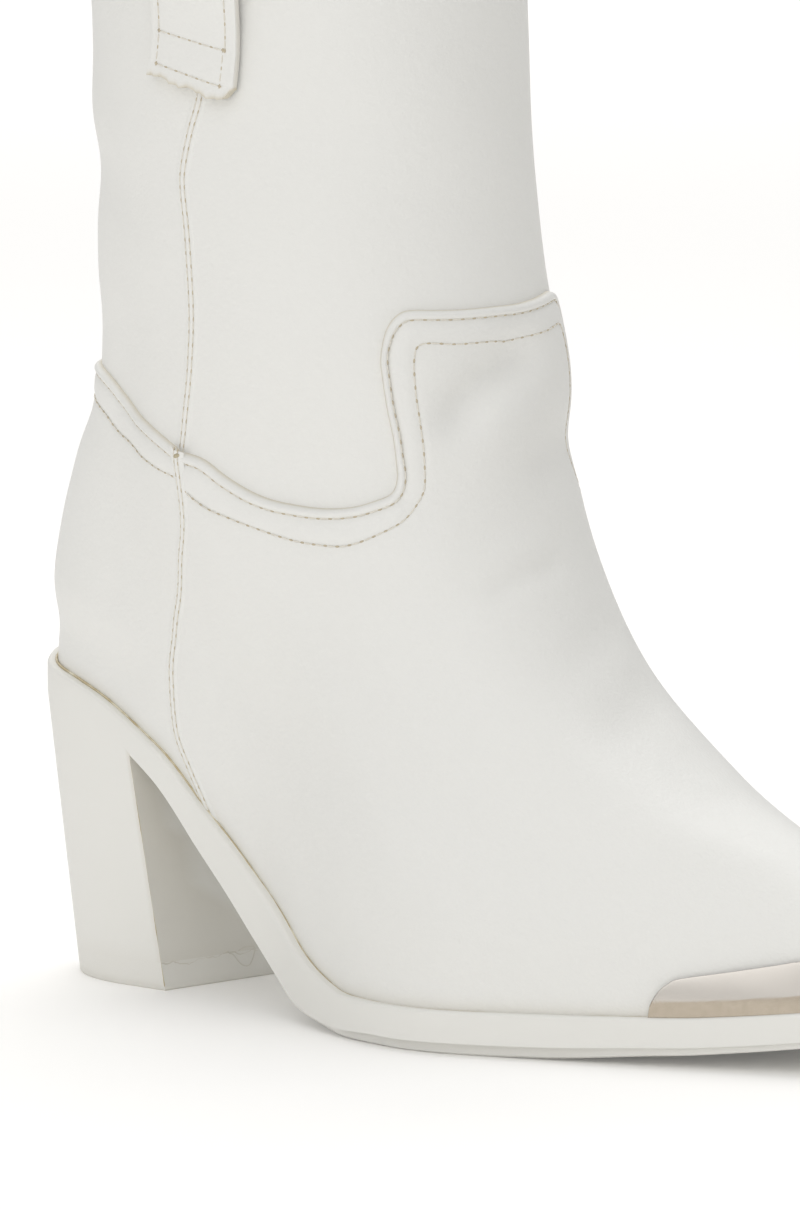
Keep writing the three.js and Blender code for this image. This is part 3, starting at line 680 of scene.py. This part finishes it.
def bead(rings, sides, size):
    """Closed pill along x, as points and faces."""
    points, faces = [(-1, 0, 0)], []
    for r in range(1, rings):
        a = math.pi * r / rings
        for s in range(sides):
            b = 2 * math.pi * s / sides
            points.append((-math.cos(a), math.sin(a) * math.cos(b), math.sin(a) * math.sin(b)))
    points.append((1, 0, 0))
    end = len(points) - 1
    for s in range(sides):
        t = (s + 1) % sides
        faces.append((0, 1 + t, 1 + s))
        for r in range(rings - 2):
            a = 1 + r * sides
            faces.append((a + s, a + t, a + sides + t, a + sides + s))
        faces.append((end - sides + s, end - sides + t, end))
    return np.array(points) * size, faces


def sew(name, runs):
    """Rows of stitches: each run is its points in space and the normals there."""
    pill = bead(6, 8, (STITCH * 0.34, THREAD, THREAD))
    hole = bead(4, 6, HOLE)
    points, faces, which = [], [], []
    total = 0
    for path, normals in runs:
        run = run_along(path)
        count = max(int(run[-1] / STITCH), 1)
        for (shape, shape_faces), start, deep, kind in ((pill, 0.5, 0.02, 0), (hole, 0.0, -0.06, 1)):
            at = (np.arange(count + kind) + start) * run[-1] / count
            way = unit(read_off(run, path, at + 0.4) - read_off(run, path, at - 0.4))
            side = unit(np.cross(read_off(run, normals, at), way))
            axes = np.stack([way, side, np.cross(way, side)], 1)
            placed = read_off(run, path, at)[:, None] + (shape + (0, 0, deep)) @ axes
            points.append(placed.reshape(-1, 3))
            for i in range(len(at)):
                base = total + i * len(shape)
                faces += [tuple(base + v for v in f) for f in shape_faces]
                which += [kind] * len(shape_faces)
            total += len(points[-1])
    finishes = [thread, hole_shade]
    make_piece(name, np.concatenate(points), faces, finishes, which=which, sharp=80)


def on_both(line, off):
    """A run on the outer side and its twin on the inner side."""
    runs = []
    for path in (line, mirrored(line)):
        turn, up = path[:, 0], path[:, 1]
        runs.append((on_last(up, turn, off + relief(up, turn)), last_normal(up, turn)))
    return runs


sew("overlay_stitches", on_both(first_row, 1.2) + on_both(second_row, 1.44))
seam_rows = []
for part, off in ((above, 0.16), (below, OVERLAY + FIT + 0.16)):
    for across in (-SEAM_ROW, SEAM_ROW):
        seam_rows += on_both(beside(part, across), off)
sew("seam_stitches", seam_rows)
knot_points, knot_faces = bead(8, 10, KNOT)
knots, knot_parts = [], []
for turn, lean in ((seam_top[0], 0.25), (2 * math.pi - seam_top[0], -0.25)):
    place = on_last(seam_top[1] - 0.002, turn, 1.7 + relief(seam_top[1], turn))
    out = last_normal(seam_top[1], turn)
    along = unit(np.cross((0, 0, 1), out))
    over = np.cross(out, along)
    along, over = along + lean * over, over - lean * along
    spun = knot_points * (1 + 0.12 * np.sin(knot_points[:, :1] * 9))
    knots.append(place + spun[:, :1] * along + spun[:, 1:2] * over + spun[:, 2:] * out)
    knot_parts += [[v + len(knot_points) * (len(knots) - 1) for v in f] for f in knot_faces]
SOILED = (0.58, 0.52, 0.38, 1), (0.34, 0.28, 0.17, 1)
knot_finish = fibre("knotted_thread", (1800.0, 3.0), *SOILED, (0.7, 0.2), (0.6, 0.0003))
make_piece("seam_knots", np.concatenate(knots), knot_parts, [knot_finish], sharp=80)
collar_line = np.column_stack([np.linspace(0, math.pi, 300), np.full(300, 1 - COLLAR_ROW / PER_RING)])
sew("collar_stitches", on_both(collar_line, 0.12))

# Toe cap: a tip of polished metal, pressed from thin sheet. It sits over the toe of the overlay, and
# its lower edge is held in the rim of the sole. A tan band there is a painted reflection of the
# shaded floor and ledge, and a dark line along its top edge is painted shade.
CAP_WALL = 0.8
CAP_LIFT = 0.25
CAP_COLUMNS = 150
CAP_ROWS = 25
CAP_EDGE = [
    (2.158, 0.015), (2.162, 0.0334), (2.17, 0.0518), (2.194, 0.0682), (2.221, 0.078),
    (2.25, 0.0839), (2.34, 0.0894), (2.508, 0.0978), (2.551, 0.0993), (2.75, 0.1),
    (2.95, 0.0985), (3.142, 0.0975),
]
metal = Finish("polished_metal")
brushed = metal.noise(900.0, 2.0)
# The mask mixes in tan: a painted reflection of the shaded floor at the cap's foot and painted shade
# along its top edge.
metal.surface(
    Base_Color=metal.blend(
        metal.grime(),
        metal.blend(metal.noise(60.0), (0.63, 0.595, 0.55, 1), (0.61, 0.57, 0.525, 1)),
        metal.blend(metal.noise(700.0), (0.45, 0.39, 0.31, 1), (0.56, 0.49, 0.405, 1)),
    ),
    Metallic=1.0,
    Roughness=0.22 + 0.04 * brushed,
    Normal=metal.bump(metal.noise(240.0, 2.0), 0.02, 0.0003),
)
cap_half = resample(CAP_EDGE, CAP_COLUMNS)
cap_half[-1, 0] = math.pi
cap_line = np.concatenate([cap_half, mirrored(cap_half)[-2::-1]])
half_turns = np.linspace(cap_half[0, 0], math.pi, CAP_COLUMNS)
foot_of_cap = sole_line(np.concatenate([half_turns, 2 * math.pi - half_turns[-2::-1]]))
# Section of the folded edge: distance inward and lift.
CAP_PROFILE = [(0, -0.55), (0, 0.12), (0.03, 0.2), (0.1, 0.24), (0.3, CAP_LIFT), (1, CAP_LIFT)]
cap_rows = [(beside(cap_line, inward), lift) for inward, lift in CAP_PROFILE]
flat = cap_rows[-1][0]
for step in range(1, CAP_ROWS + 1):
    cap_rows.append((flat + (foot_of_cap - flat) * step / CAP_ROWS, CAP_LIFT))
cap_base = OVERLAY + 2 * FIT + CAP_WALL - CAP_LIFT
cap_points = np.array([in_space(line, cap_base + lift) for line, lift in cap_rows])
cap_faces = sheet_faces(len(cap_rows), len(cap_line))[:, ::-1]
above_rim = np.concatenate([line[:, 1] - foot_of_cap[:, 1] for line, _ in cap_rows])
# Painted reflection at the cap's foot, and painted shade on its top edge rows.
cap_reflection_and_shade = np.clip((0.025 - above_rim) / 0.0015, 0, 1)
cap_reflection_and_shade[:len(cap_line) * 2] = 1
cap = make_piece("metal_toe_tip", cap_points, cap_faces, [metal], sharp=55, grime=cap_reflection_and_shade)
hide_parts("toe_cap")

# Unit sole: one cream rubber moulding with a low rim round the upper, a shank that sinks to the ball
# of the foot, a recessed tread and a block heel that is cut square in front.
RIM_ROUND = 0.8
LEDGE = 3.6
STRIP_HEIGHT = 6.6
TREAD_HEIGHT = 2.6
TREAD_INSET = 2.2
TREAD_BEVEL = 0.5
BREAST_SETBACK = 41
HEEL_LENGTH = 42
HEEL_WIDTH = 48
TOP_PIECE = 6
HEEL_ROUND = 0.68
# Side of the sole: share of the foot's length, share of the strip, share of the tread.
SOLE_SIDE = [
    (0.0, 1.0, 0), (0.172, 0.93, 0), (0.248, 1.25, 0), (0.319, 1.7, 0), (0.357, 1.88, 0),
    (0.405, 1.75, 0), (0.443, 1.42, 0.15), (0.479, 1.18, 0.5), (0.534, 1.0, 0.96),
    (0.56, 1.01, 1.0), (0.609, 1.0, 1.0), (0.697, 1.0, 1.0), (0.782, 0.93, 0.75),
    (0.908, 0.9, 0.55), (1.0, 0.88, 0.5),
]
rubber = Finish("cream_rubber")
speck = rubber.noise(480.0, 4.0, 0.6)
patch = rubber.noise(32.0, 3.0)
rubber_tone = rubber.blend(patch * 0.6, (0.785, 0.778, 0.742, 1), (0.76, 0.746, 0.698, 1))
# The mask blends in warm brown: darker along the rim and low on the heel, and painted shade on the
# heel's breast.
rubber_tone = rubber.blend(rubber.grime() * 0.75, rubber_tone, (0.4, 0.33, 0.2, 1))
rubber.surface(
    Base_Color=rubber_tone,
    Roughness=0.5 + 0.14 * speck,
    Normal=rubber.bump(speck + rubber.noise(90.0, 2.0), 0.14, 0.0004),
    IOR=1.48,
)
breast_share = BREAST_SETBACK / FOOT_LENGTH
breast_turn = math.acos(1 - 2 * breast_share)
HEEL_COLUMNS = 44
FOOT_COLUMNS = 150
heel_turns = np.linspace(0, breast_turn, HEEL_COLUMNS + 1)
foot_turns = np.linspace(breast_turn, math.pi, FOOT_COLUMNS + 1)
outer_turns = np.concatenate([heel_turns, foot_turns[1:]])
sole_turns = np.concatenate([outer_turns, 2 * math.pi - outer_turns[-2:0:-1]])
sole_ring = ring_at(sole_turns, RIM_HEIGHT)
sole_share = (1 - np.cos(sole_turns)) / 2
sole_edge = last_point(sole_ring, sole_turns)
sole_out = unit(last_normal(sole_ring, sole_turns) * (1, 1, 0))
strip = STRIP_HEIGHT * curve(SOLE_SIDE, sole_share)[:, 0]
tread = curve(SOLE_SIDE, sole_share)[:, 1]


def sole_loop(off, drop):
    loop = sole_edge + sole_out * np.broadcast_to(off, len(sole_edge))[:, None]
    loop[:, 2] = bed_height(sole_share) + RIM_HEIGHT - drop
    return loop


def heel_tread(turn):
    part = (1 - np.cos(turn)) / 2 / breast_share
    near = 1 - np.minimum(part / HEEL_ROUND, 1)
    half = HEEL_WIDTH / 2 * np.sqrt(np.maximum(1 - near * near, 0)) * np.where(turn > math.pi, 1, -1)
    return np.column_stack([HEEL_LENGTH * (part - 0.5), half, np.zeros(len(turn))])


heel_top = sole_loop(LEDGE, strip)
heel_low = heel_tread(sole_turns)


def heel_loop(height):
    height = np.broadcast_to(height, len(heel_top))
    loop = heel_low + (heel_top - heel_low) * (height / heel_top[:, 2])[:, None]
    loop[:, 2] = height
    return loop


def breast_corner(heights):
    """Outer corner of the heel's breast at each of the heights."""
    return np.array([heel_loop(height)[HEEL_COLUMNS] for height in heights])


# Inside of the rim: distance out from the upper and drop below the rim's top.
RIM_INSIDE = [(0.15, RIM_HEIGHT + 0.1), (0.15, 0.3), (0.4, 0.02), (LEDGE - RIM_ROUND, 0)]
shared = [sole_loop(off, drop) for off, drop in RIM_INSIDE]
for step in (1, 2, 3, 4):
    swing = math.pi / 8 * step
    off = LEDGE - RIM_ROUND * (1 - math.sin(swing))
    shared.append(sole_loop(off, RIM_ROUND * (1 - math.cos(swing))))
shared += [sole_loop(LEDGE, RIM_ROUND + (strip - RIM_ROUND) * f) for f in (0.3, 0.6, 0.9)]
shared.append(heel_top)
heel_rise = heel_top[:, 2] - TOP_PIECE
heel_levels = [heel_loop(TOP_PIECE + heel_rise * f) for f in np.linspace(1, 0, 15)[1:]]
inset = LEDGE - TREAD_INSET * tread
foot_levels = [
    sole_loop(LEDGE - 0.3 * np.minimum(tread, 1), strip + 0.02),
    sole_loop(inset, strip + 0.02),
    sole_loop(inset, strip + (TREAD_HEIGHT - 0.4) * tread),
    sole_loop(inset - TREAD_BEVEL * tread, strip + TREAD_HEIGHT * tread),
]
for level in foot_levels:
    level[:, 2] = np.maximum(level[:, 2], 0)
sole_points, heel_ids, foot_ids = [], [], []


def add_column(loops, i):
    """Take one point of each loop into the sole and give their numbers."""
    sole_points.extend(loop[i] for loop in loops)
    return list(range(len(sole_points) - len(loops), len(sole_points)))


for i, past_breast in enumerate(sole_share - breast_share):
    column = add_column(shared, i)
    heel_ids.append(column + add_column(heel_levels, i) if past_breast < 1e-6 else None)
    if past_breast > 1e-6:
        foot_ids.append(column + add_column(foot_levels, i))
    else:
        foot_ids.append(column + [column[-1]] * len(foot_levels) if past_breast > -1e-6 else None)
sole_faces = []
CROSSINGS = 10


def tile(a, b, c, d):
    """One square, or a triangle where two corners are the same."""
    corners = list(dict.fromkeys([a, b, c, d]))
    if len(corners) > 2:
        sole_faces.append(corners)


def cross(left, right, left_next, right_next):
    """Strip straight across the sole between two pairs of points."""
    def between(a, b):
        if a == b:
            return [a] * (CROSSINGS + 1)
        if (a, b) not in crossings:
            pa, pb = np.array(sole_points[a]), np.array(sole_points[b])
            inner = []
            for n in range(1, CROSSINGS):
                inner.append(len(sole_points))
                sole_points.append(pa + (pb - pa) * n / CROSSINGS)
            crossings[(a, b)] = [a] + inner + [b]
        return crossings[(a, b)]

    here, there = between(left, right), between(left_next, right_next)
    for n in range(CROSSINGS):
        tile(here[n], here[n + 1], there[n + 1], there[n])


def inner_id(i):
    """Point at the foot of the rim's inside."""
    return (heel_ids[i] or foot_ids[i])[0]


crossings = {}
total = len(sole_turns)
for i in range(total):
    j = (i + 1) % total
    ids = heel_ids if heel_ids[i] and heel_ids[j] else foot_ids
    for n in range(len(ids[i]) - 1):
        tile(ids[i][n], ids[i][n + 1], ids[j][n + 1], ids[j][n])
for i in range(len(outer_turns) - 1):
    far, far_next = (total - i) % total, total - i - 1
    cross(inner_id(far), inner_id(i), inner_id(far_next), inner_id(i + 1))
    ids = heel_ids if heel_ids[i] and heel_ids[i + 1] else foot_ids
    cross(ids[i][-1], ids[far][-1], ids[i + 1][-1], ids[far_next][-1])
breast, far = HEEL_COLUMNS, total - HEEL_COLUMNS
for n in range(len(shared) - 1, len(heel_ids[breast]) - 1):
    cross(heel_ids[breast][n], heel_ids[far][n], heel_ids[breast][n + 1], heel_ids[far][n + 1])
sole_points = np.array(sole_points)
# Darker along the rim and most at the heel, and low on the heel. On the heel's breast it is painted
# shade, darker and warmer towards the top.
to_rim = distance_to(sole_points, sole_loop(0.9, 0))
x, z = sole_points[:, 0], sole_points[:, 2]
sole_dirt_and_shade = 0.38 * bell(to_rim, 1.8) * np.clip((60 - x) / 90, 0.15, 1)
sole_dirt_and_shade += 0.06 * np.clip((TOP_PIECE + 1.5 - z) / 1.5, 0, 1) * (x < 30)
breast_top = heel_top[HEEL_COLUMNS, 2]
breast_heights = np.linspace(1, breast_top, 30)
breast_x = np.interp(z, breast_heights, breast_corner(breast_heights)[:, 0])
on_breast = (np.abs(x - breast_x) < 0.05) & (z < breast_top + 0.01)
# Painted shade on the heel's breast, more towards the top.
sole_dirt_and_shade[on_breast] += 0.13 + 0.2 * z[on_breast] / breast_top
sole = make_piece(
    "rubber_sole", sole_points, sole_faces, [rubber], sharp=38, grime=sole_dirt_and_shade
)
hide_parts("unit_sole")

# Heel top piece: the wear layer under the heel, a plate of the same cream rubber. It is glued on
# flush with the block, and the seam between them shows all round.
TOP_LEVELS = [TOP_PIECE, TOP_PIECE - 0.12, 4, 2, 0.35, 0]
TOP_DIRT = [0.08, 0.06, 0.05, 0.06, 0.12, 0.25]
top_index = [i for i in range(total) if heel_ids[i]]
count = len(top_index)
top_loops = [heel_loop(height)[top_index] for height in TOP_LEVELS]
top_loops[-1] += (top_loops[-1].mean(0) - top_loops[-1]) * 0.012
top_faces = [list(f) for f in sheet_faces(len(top_loops), count, closed=True)]
lowest = (len(top_loops) - 1) * count
for i in range(HEEL_COLUMNS):
    corners = list(dict.fromkeys([i, i + 1, count - i - 1, (count - i) % count]))
    top_faces += [corners, [lowest + v for v in corners[::-1]]]
top_points = np.concatenate(top_loops)
top_grime = np.repeat(TOP_DIRT, count)
top_piece = make_piece("heel_top", top_points, top_faces, [rubber], grime=top_grime)
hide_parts("heel_top_piece")

# Glue: the cement that joins sole and upper has squeezed out along the rim as a thin amber line. On
# the heel's breast a pale bead crosses the seam, beside a torn film, and a run stands on the corner.
GLUE_POINTS = 700
BEAD_POINTS = 90
CORNER_POINTS = 60
SMEAR_POINTS = 60
GLUE_STAND = 0.14
# Torn film: distance from the outer corner and height.
SMEAR = [
    (20.5, 5.9), (21.6, 5.4), (23.2, 3.4), (25, 2.7), (26.3, 3.2),
    (27.6, 5), (28, 6.4), (25.5, 6.8), (23.2, 6.2),
]
# Colours of the glue, each with its place on the ramp.
AMBER = [(0.3, (0.68, 0.63, 0.48, 1)), (0.5, (0.5, 0.41, 0.24, 1)), (0.66, (0.72, 0.68, 0.54, 1))]
glue = Finish("amber_glue")
glue_patch = glue.noise(150.0, 3.0)
glue.surface(
    Base_Color=glue.ramp(glue_patch, AMBER),
    Roughness=0.35 + 0.2 * glue_patch,
    Normal=glue.bump(glue_patch, 0.3, 0.0004),
)


def tube(path, radius, sides=6):
    """Round cord along a path in space, with its own thickness at each point."""
    way = unit(np.gradient(path, axis=0))
    side = unit(np.cross(way, (0, 0, 1.0)))
    up = np.cross(side, way)
    around = (np.arange(sides) * 2 * math.pi / sides)[None, :, None]
    outward = np.cos(around) * side[:, None] + np.sin(around) * up[:, None]
    rings = path[:, None] + radius[:, None, None] * outward
    faces = [list(f) for f in sheet_faces(len(path), sides, closed=True)]
    last = (len(path) - 1) * sides
    faces += [list(range(sides))[::-1], [last + s for s in range(sides)]]
    return rings.reshape(-1, 3), faces


rng = np.random.default_rng(11)


def waver(count, span, scale):
    """Soft random rise and fall along a line."""
    return np.convolve(rng.normal(size=count + span - 1), np.ones(span) / scale, "valid")


glue_turns = np.linspace(0.02, 2 * math.pi - 0.02, GLUE_POINTS)
glue_line = np.column_stack([glue_turns, ring_at(glue_turns, RIM_HEIGHT + 0.22)])
glue_path = in_space(glue_line, OVERLAY + FIT + GLUE_STAND)
swell = np.convolve(rng.normal(size=GLUE_POINTS + 60), np.ones(60) / 8, "same")[30:GLUE_POINTS + 30]
glue_size = np.clip(0.23 + 0.09 * swell, 0.08, 0.4) * np.clip((140 - glue_path[:, 0]) / 90, 0.35, 1)
across = np.linspace(0, 1, BEAD_POINTS)[:, None]
left, right = heel_loop(TOP_PIECE)[HEEL_COLUMNS], heel_loop(TOP_PIECE)[far]
bead_path = left + (right - left) * across
bead_path[:, 0] += 0.02
bead_path[:, 2] += 0.35 * waver(BEAD_POINTS, 9, 3) - 0.1
bead_size = np.clip(0.07 + 0.06 * waver(BEAD_POINTS, 7, 2.6), 0.03, 0.16)
corner_path = breast_corner(np.linspace(1, breast_top - 1, CORNER_POINTS))
corner_size = np.clip(0.05 + 0.05 * waver(CORNER_POINTS, 7, 2.6), 0.02, 0.13)
smear = through(SMEAR, SMEAR_POINTS)
smear_path = breast_corner(smear[:, 1])
smear_path[:, 1] += smear[:, 0]
smear_path[:, 0] += 0.03
glue_points, glue_faces, glue_kinds = [], [], []
total = 0
for path, size, kind in (
    (glue_path, glue_size, 0),
    (corner_path, corner_size, 0),
    (bead_path, bead_size, 1),
    (smear_path, np.full(SMEAR_POINTS, 0.1), 1),
):
    points, faces = tube(path, size)
    glue_faces += [[v + total for v in f] for f in faces]
    glue_kinds += [kind] * len(faces)
    glue_points.append(points)
    total += len(points)
glue_points = np.concatenate(glue_points)
finishes = [glue, rubber]
make_piece(
    "glue_line", glue_points, glue_faces, finishes, which=glue_kinds, sharp=70, grime=0.35
)

# Insole: a board covered with pale cloth, cut to the bed of the last and glued down inside. It has
# the part's own mesh, and only its finish is made here.
PALE = (0.66, 0.6, 0.5, 1), (0.55, 0.49, 0.4, 1)
cloth = fibre("pale_insole_cloth", (900.0, 2.0), *PALE, (0.85, 0.1), (0.3, 0.0003))
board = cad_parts["insole"]
board.data.materials.clear()
board.data.materials.append(cloth.material)

# Pull straps: a folded band of the same leather loops over the collar on each side. It is sewn down
# inside and out, where its raw cut end shows under a box of stitches.
STRAP_WIDTH = 23.2
STRAP_AHEAD = 5.1
STRAP_THICK = 2.2
STRAP_LOOP = 12
STRAP_OUTSIDE = 64.8
STRAP_INSIDE = 34
STRAP_STAND = 4.5
STRAP_SLANT = 2.9
STRAP_LEAN = 3.6
LEAN_RUN = 30
STRAP_ROWS = 150
LOW_ROW = 3.6
BOX_ROW = 11.6
ROW_DENT = 0.16
# Half the distance between the two long rows of stitches, as a share of the width.
ROWS_APART = 0.39
# Course of the band: part, reach along that part, stand off the wall.
STRAP_COURSE = [
    (0, 1.0, 0), (0, 0.78, 0), (0, 0.5, 0.55), (0, 0.22, 1), (0, 0, 1), (1, 0.62, 0.75),
    (1, 0.94, 0.3), (1, 1.0, 0), (1, 0.94, -0.3), (1, 0.62, -0.75), (2, 0, 1), (2, 0.3, 0.75),
    (2, 0.66, 0), (2, 1.0, 0),
]
per_turn = np.linalg.norm(last_point(1, math.pi / 2 + 0.01) - last_point(1, math.pi / 2)) / 0.01
strap_middle = math.pi / 2 + STRAP_AHEAD / per_turn
per_up = float(last_point(1, strap_middle)[2] - last_point(0.95, strap_middle)[2]) / 0.05
strap_half = STRAP_THICK / 2
course = []
for part, reach, stand_off in STRAP_COURSE:
    bow = STRAP_STAND * stand_off
    if part == 0:
        course.append((-STRAP_OUTSIDE * reach, FIT + strap_half + bow, reach))
    elif part == 2:
        course.append((-STRAP_INSIDE * reach, -WALL - FIT - strap_half - bow, 0))
    else:
        arm = (WALL / 2 + FIT + strap_half + STRAP_STAND) * math.sqrt(max(0, 1 - reach * reach))
        course.append((STRAP_LOOP * reach, -WALL / 2 + arm * np.sign(stand_off), 0))
course = through(course, STRAP_ROWS)
course_run = run_along(course[:, :2])
course_way = unit(np.gradient(course[:, :2], axis=0))


def on_strap(run, across, off, side):
    """Point of a pull strap: run from its outer end, share across it, height off its middle."""
    run, across, off = np.broadcast_arrays(*(np.asarray(v, float) for v in (run, across, off)))
    z, wall_off, slant = (np.interp(run, course_run, course[:, i]) for i in range(3))
    way_z, way_off = (np.interp(run, course_run, course_way[:, i]) for i in range(2))
    height = z - way_off * off - STRAP_SLANT * slant * (across + 0.5)
    wall_off = wall_off + way_z * off
    ease = np.clip(run / LEAN_RUN, 0, 1)
    turn = strap_middle + (STRAP_WIDTH * across + STRAP_LEAN * ease * (2 - ease)) / per_turn
    facing = turn if side > 0 else 2 * math.pi - turn
    point = on_last(np.minimum(1, 1 + height / per_up), facing, wall_off)
    point[..., 2] += np.maximum(height, 0)
    return point


STRAP_EDGE = [(-0.5, 0.0), (-0.497, 0.55), (-0.488, 0.9), (-0.47, 1.0)]
profile = [(a, h) for a, h in STRAP_EDGE] + [(a, 1.0) for a in np.linspace(-0.44, 0.44, 23)]
profile += [(-a, h) for a, h in STRAP_EDGE[::-1]] + [(-a, -h) for a, h in STRAP_EDGE[1:]]
profile += [(a, -1.0) for a in np.linspace(0.44, -0.44, 23)] + [(a, -h) for a, h in STRAP_EDGE[:0:-1]]
profile = np.array(profile)
runs = np.linspace(0, course_run[-1], STRAP_ROWS)
inner_low, inner_box = course_run[-1] - 3, course_run[-1] - 12
# Rows of stitches: share across and run where each begins and ends.
STRAP_SEWN = [
    (-ROWS_APART, LOW_ROW, 0.36, LOW_ROW),
    (0.36, LOW_ROW, 0.36, BOX_ROW),
    (0.36, BOX_ROW, -ROWS_APART, BOX_ROW),
    (-ROWS_APART, BOX_ROW, -ROWS_APART, LOW_ROW),
    (-ROWS_APART, BOX_ROW, -ROWS_APART, inner_low),
    (0.38, BOX_ROW, 0.38, inner_low),
    (-ROWS_APART, inner_low, 0.38, inner_low),
    (-ROWS_APART, inner_box, 0.38, inner_box),
]
for side, place in ((1, "outer"), (-1, "inner")):
    run, across = np.meshgrid(runs, profile[:, 0], indexing="ij")
    height = np.broadcast_to(profile[:, 1], run.shape) * strap_half
    frayed = bell(run, 3)
    rounded = 3.2 * np.clip((across - 0.36) / 0.14, 0, 1) ** 2
    run = run + rounded * np.clip(1 - run / 9, 0, 1)
    wave = 0.55 * np.sin(across * 17 + 0.6) + 0.35 * np.sin(across * 41 + side)
    wave += 0.18 * np.sin(across * 97)
    run = run + frayed * (wave * 0.8 + 0.5)
    pressed = bell((np.abs(across) - ROWS_APART) * STRAP_WIDTH, 0.9)
    pressed = pressed + bell(run - LOW_ROW, 0.9) + bell(run - BOX_ROW, 0.9)
    pressed = np.where(height > 0, ROW_DENT * pressed, 0)
    band = on_strap(run, across, height - pressed + frayed * 0.15 * np.sin(across * 60), side)
    faces = [list(f) for f in sheet_faces(STRAP_ROWS, len(profile), closed=True)]
    edges = len(profile)
    end = (STRAP_ROWS - 1) * edges
    for k in range(edges // 2 - 1):
        corners = [k, k + 1, edges - 2 - k, edges - 1 - k]
        faces += [corners[::-1], [end + v for v in corners]]
    if side > 0:
        faces = [f[::-1] for f in faces]
    # Darker at the raw cut end, which is dirt, and along both long edges, which is painted shade that
    # warms the gap between strap and shaft.
    cut_dirt_and_gap_shade = 0.9 * bell(runs, 0.7)[:, None] + 0.35 * (np.abs(profile[:, 0]) > 0.49)[None]
    soil_and_shade = np.broadcast_to(cut_dirt_and_gap_shade, run.shape)
    name = place + "_pull_strap"
    strap = make_piece(name, band, faces, [leather], grime=soil_and_shade)
    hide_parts("pull_strap_" + place)
    strap_runs = []
    for a0, r0, a1, r1 in STRAP_SEWN:
        count = max(int(abs(r1 - r0) + abs(a1 - a0) * STRAP_WIDTH) * 2, 8)
        r, a = np.linspace(r0, r1, count), np.linspace(a0, a1, count)
        path = on_strap(r, a, strap_half - 0.12, side)
        normal = on_strap(r, a, strap_half + 1, side) - path
        strap_runs.append((path, unit(normal)))
    sew(name + "_stitches", strap_runs)

# Studio: the boot stands on a plain white floor under a white sky. A large soft light is in front, a
# smaller one is above, a third lights the floor behind, and the camera is at the photo's angle.
floor_mesh = bpy.data.meshes.new("floor")
floor_mesh.from_pydata([(-9, -9, 0), (9, -9, 0), (9, 9, 0), (-9, 9, 0)], [], [(0, 1, 2, 3)])
floor = put("floor", floor_mesh)
paper = Finish("white_paper")
paper.surface(
    Base_Color=paper.blend(paper.noise(3.0), (0.99, 0.98, 0.962, 1), (0.985, 0.974, 0.954, 1)),
    Roughness=0.9 + 0.05 * paper.noise(5.0),
    Emission_Color=(1, 1, 1, 1),
    Emission_Strength=0.05,
)
floor_mesh.materials.append(paper.material)

world = bpy.data.worlds.new("studio")
world.use_nodes = True
world.node_tree.nodes["Background"].inputs["Color"].default_value = (1.0, 1.0, 1.0, 1)
world.node_tree.nodes["Background"].inputs["Strength"].default_value = 0.47
bpy.context.scene.world = world


def look(thing, way):
    """Turn a light or the camera that way."""
    thing.rotation_mode = "QUATERNION"
    thing.rotation_quaternion = way.to_track_quat("-Z", "Y")


def soft_light(name, place, aim, size, power):
    data = bpy.data.lights.new(name, "AREA")
    data.shape = "SQUARE"
    data.size = size
    data.energy = power
    lamp = put(name, data)
    lamp.location = place
    look(lamp, Vector(aim) - Vector(place))


soft_light("key", (0.95, -1.85, 1.5), (0.06, 0, 0.1), 3.0, 26.5)
soft_light("top", (-0.28, 0.4, 1.9), (0.06, 0, 0), 1.3, 16)
soft_light("ground", (-3.4, 3.4, 2.6), (-3.4, 3.4, 0), 4.6, 84)

PHOTO_AZIMUTH = math.radians(44.5)
PHOTO_PITCH = math.radians(6.6)
PHOTO_HEIGHT = 1209
FOCAL_PIXELS = 9400
SENSOR = 36
CAMERA_DISTANCE = 2.0
aim = Vector((0.0540548, 0.0138116, 0.0825795))
back = Vector((
    math.sin(PHOTO_AZIMUTH) * math.cos(PHOTO_PITCH),
    -math.cos(PHOTO_AZIMUTH) * math.cos(PHOTO_PITCH),
    math.sin(PHOTO_PITCH),
))
camera_data = bpy.data.cameras.new("camera")
camera_data.sensor_width = SENSOR
camera_data.lens = SENSOR * FOCAL_PIXELS / PHOTO_HEIGHT
camera_data.clip_start, camera_data.clip_end = 0.05, 60
camera = put("camera", camera_data)
camera.location = aim + back * CAMERA_DISTANCE
look(camera, -back)
bpy.context.scene.camera = camera
bpy.context.scene.view_settings.view_transform = "Standard"
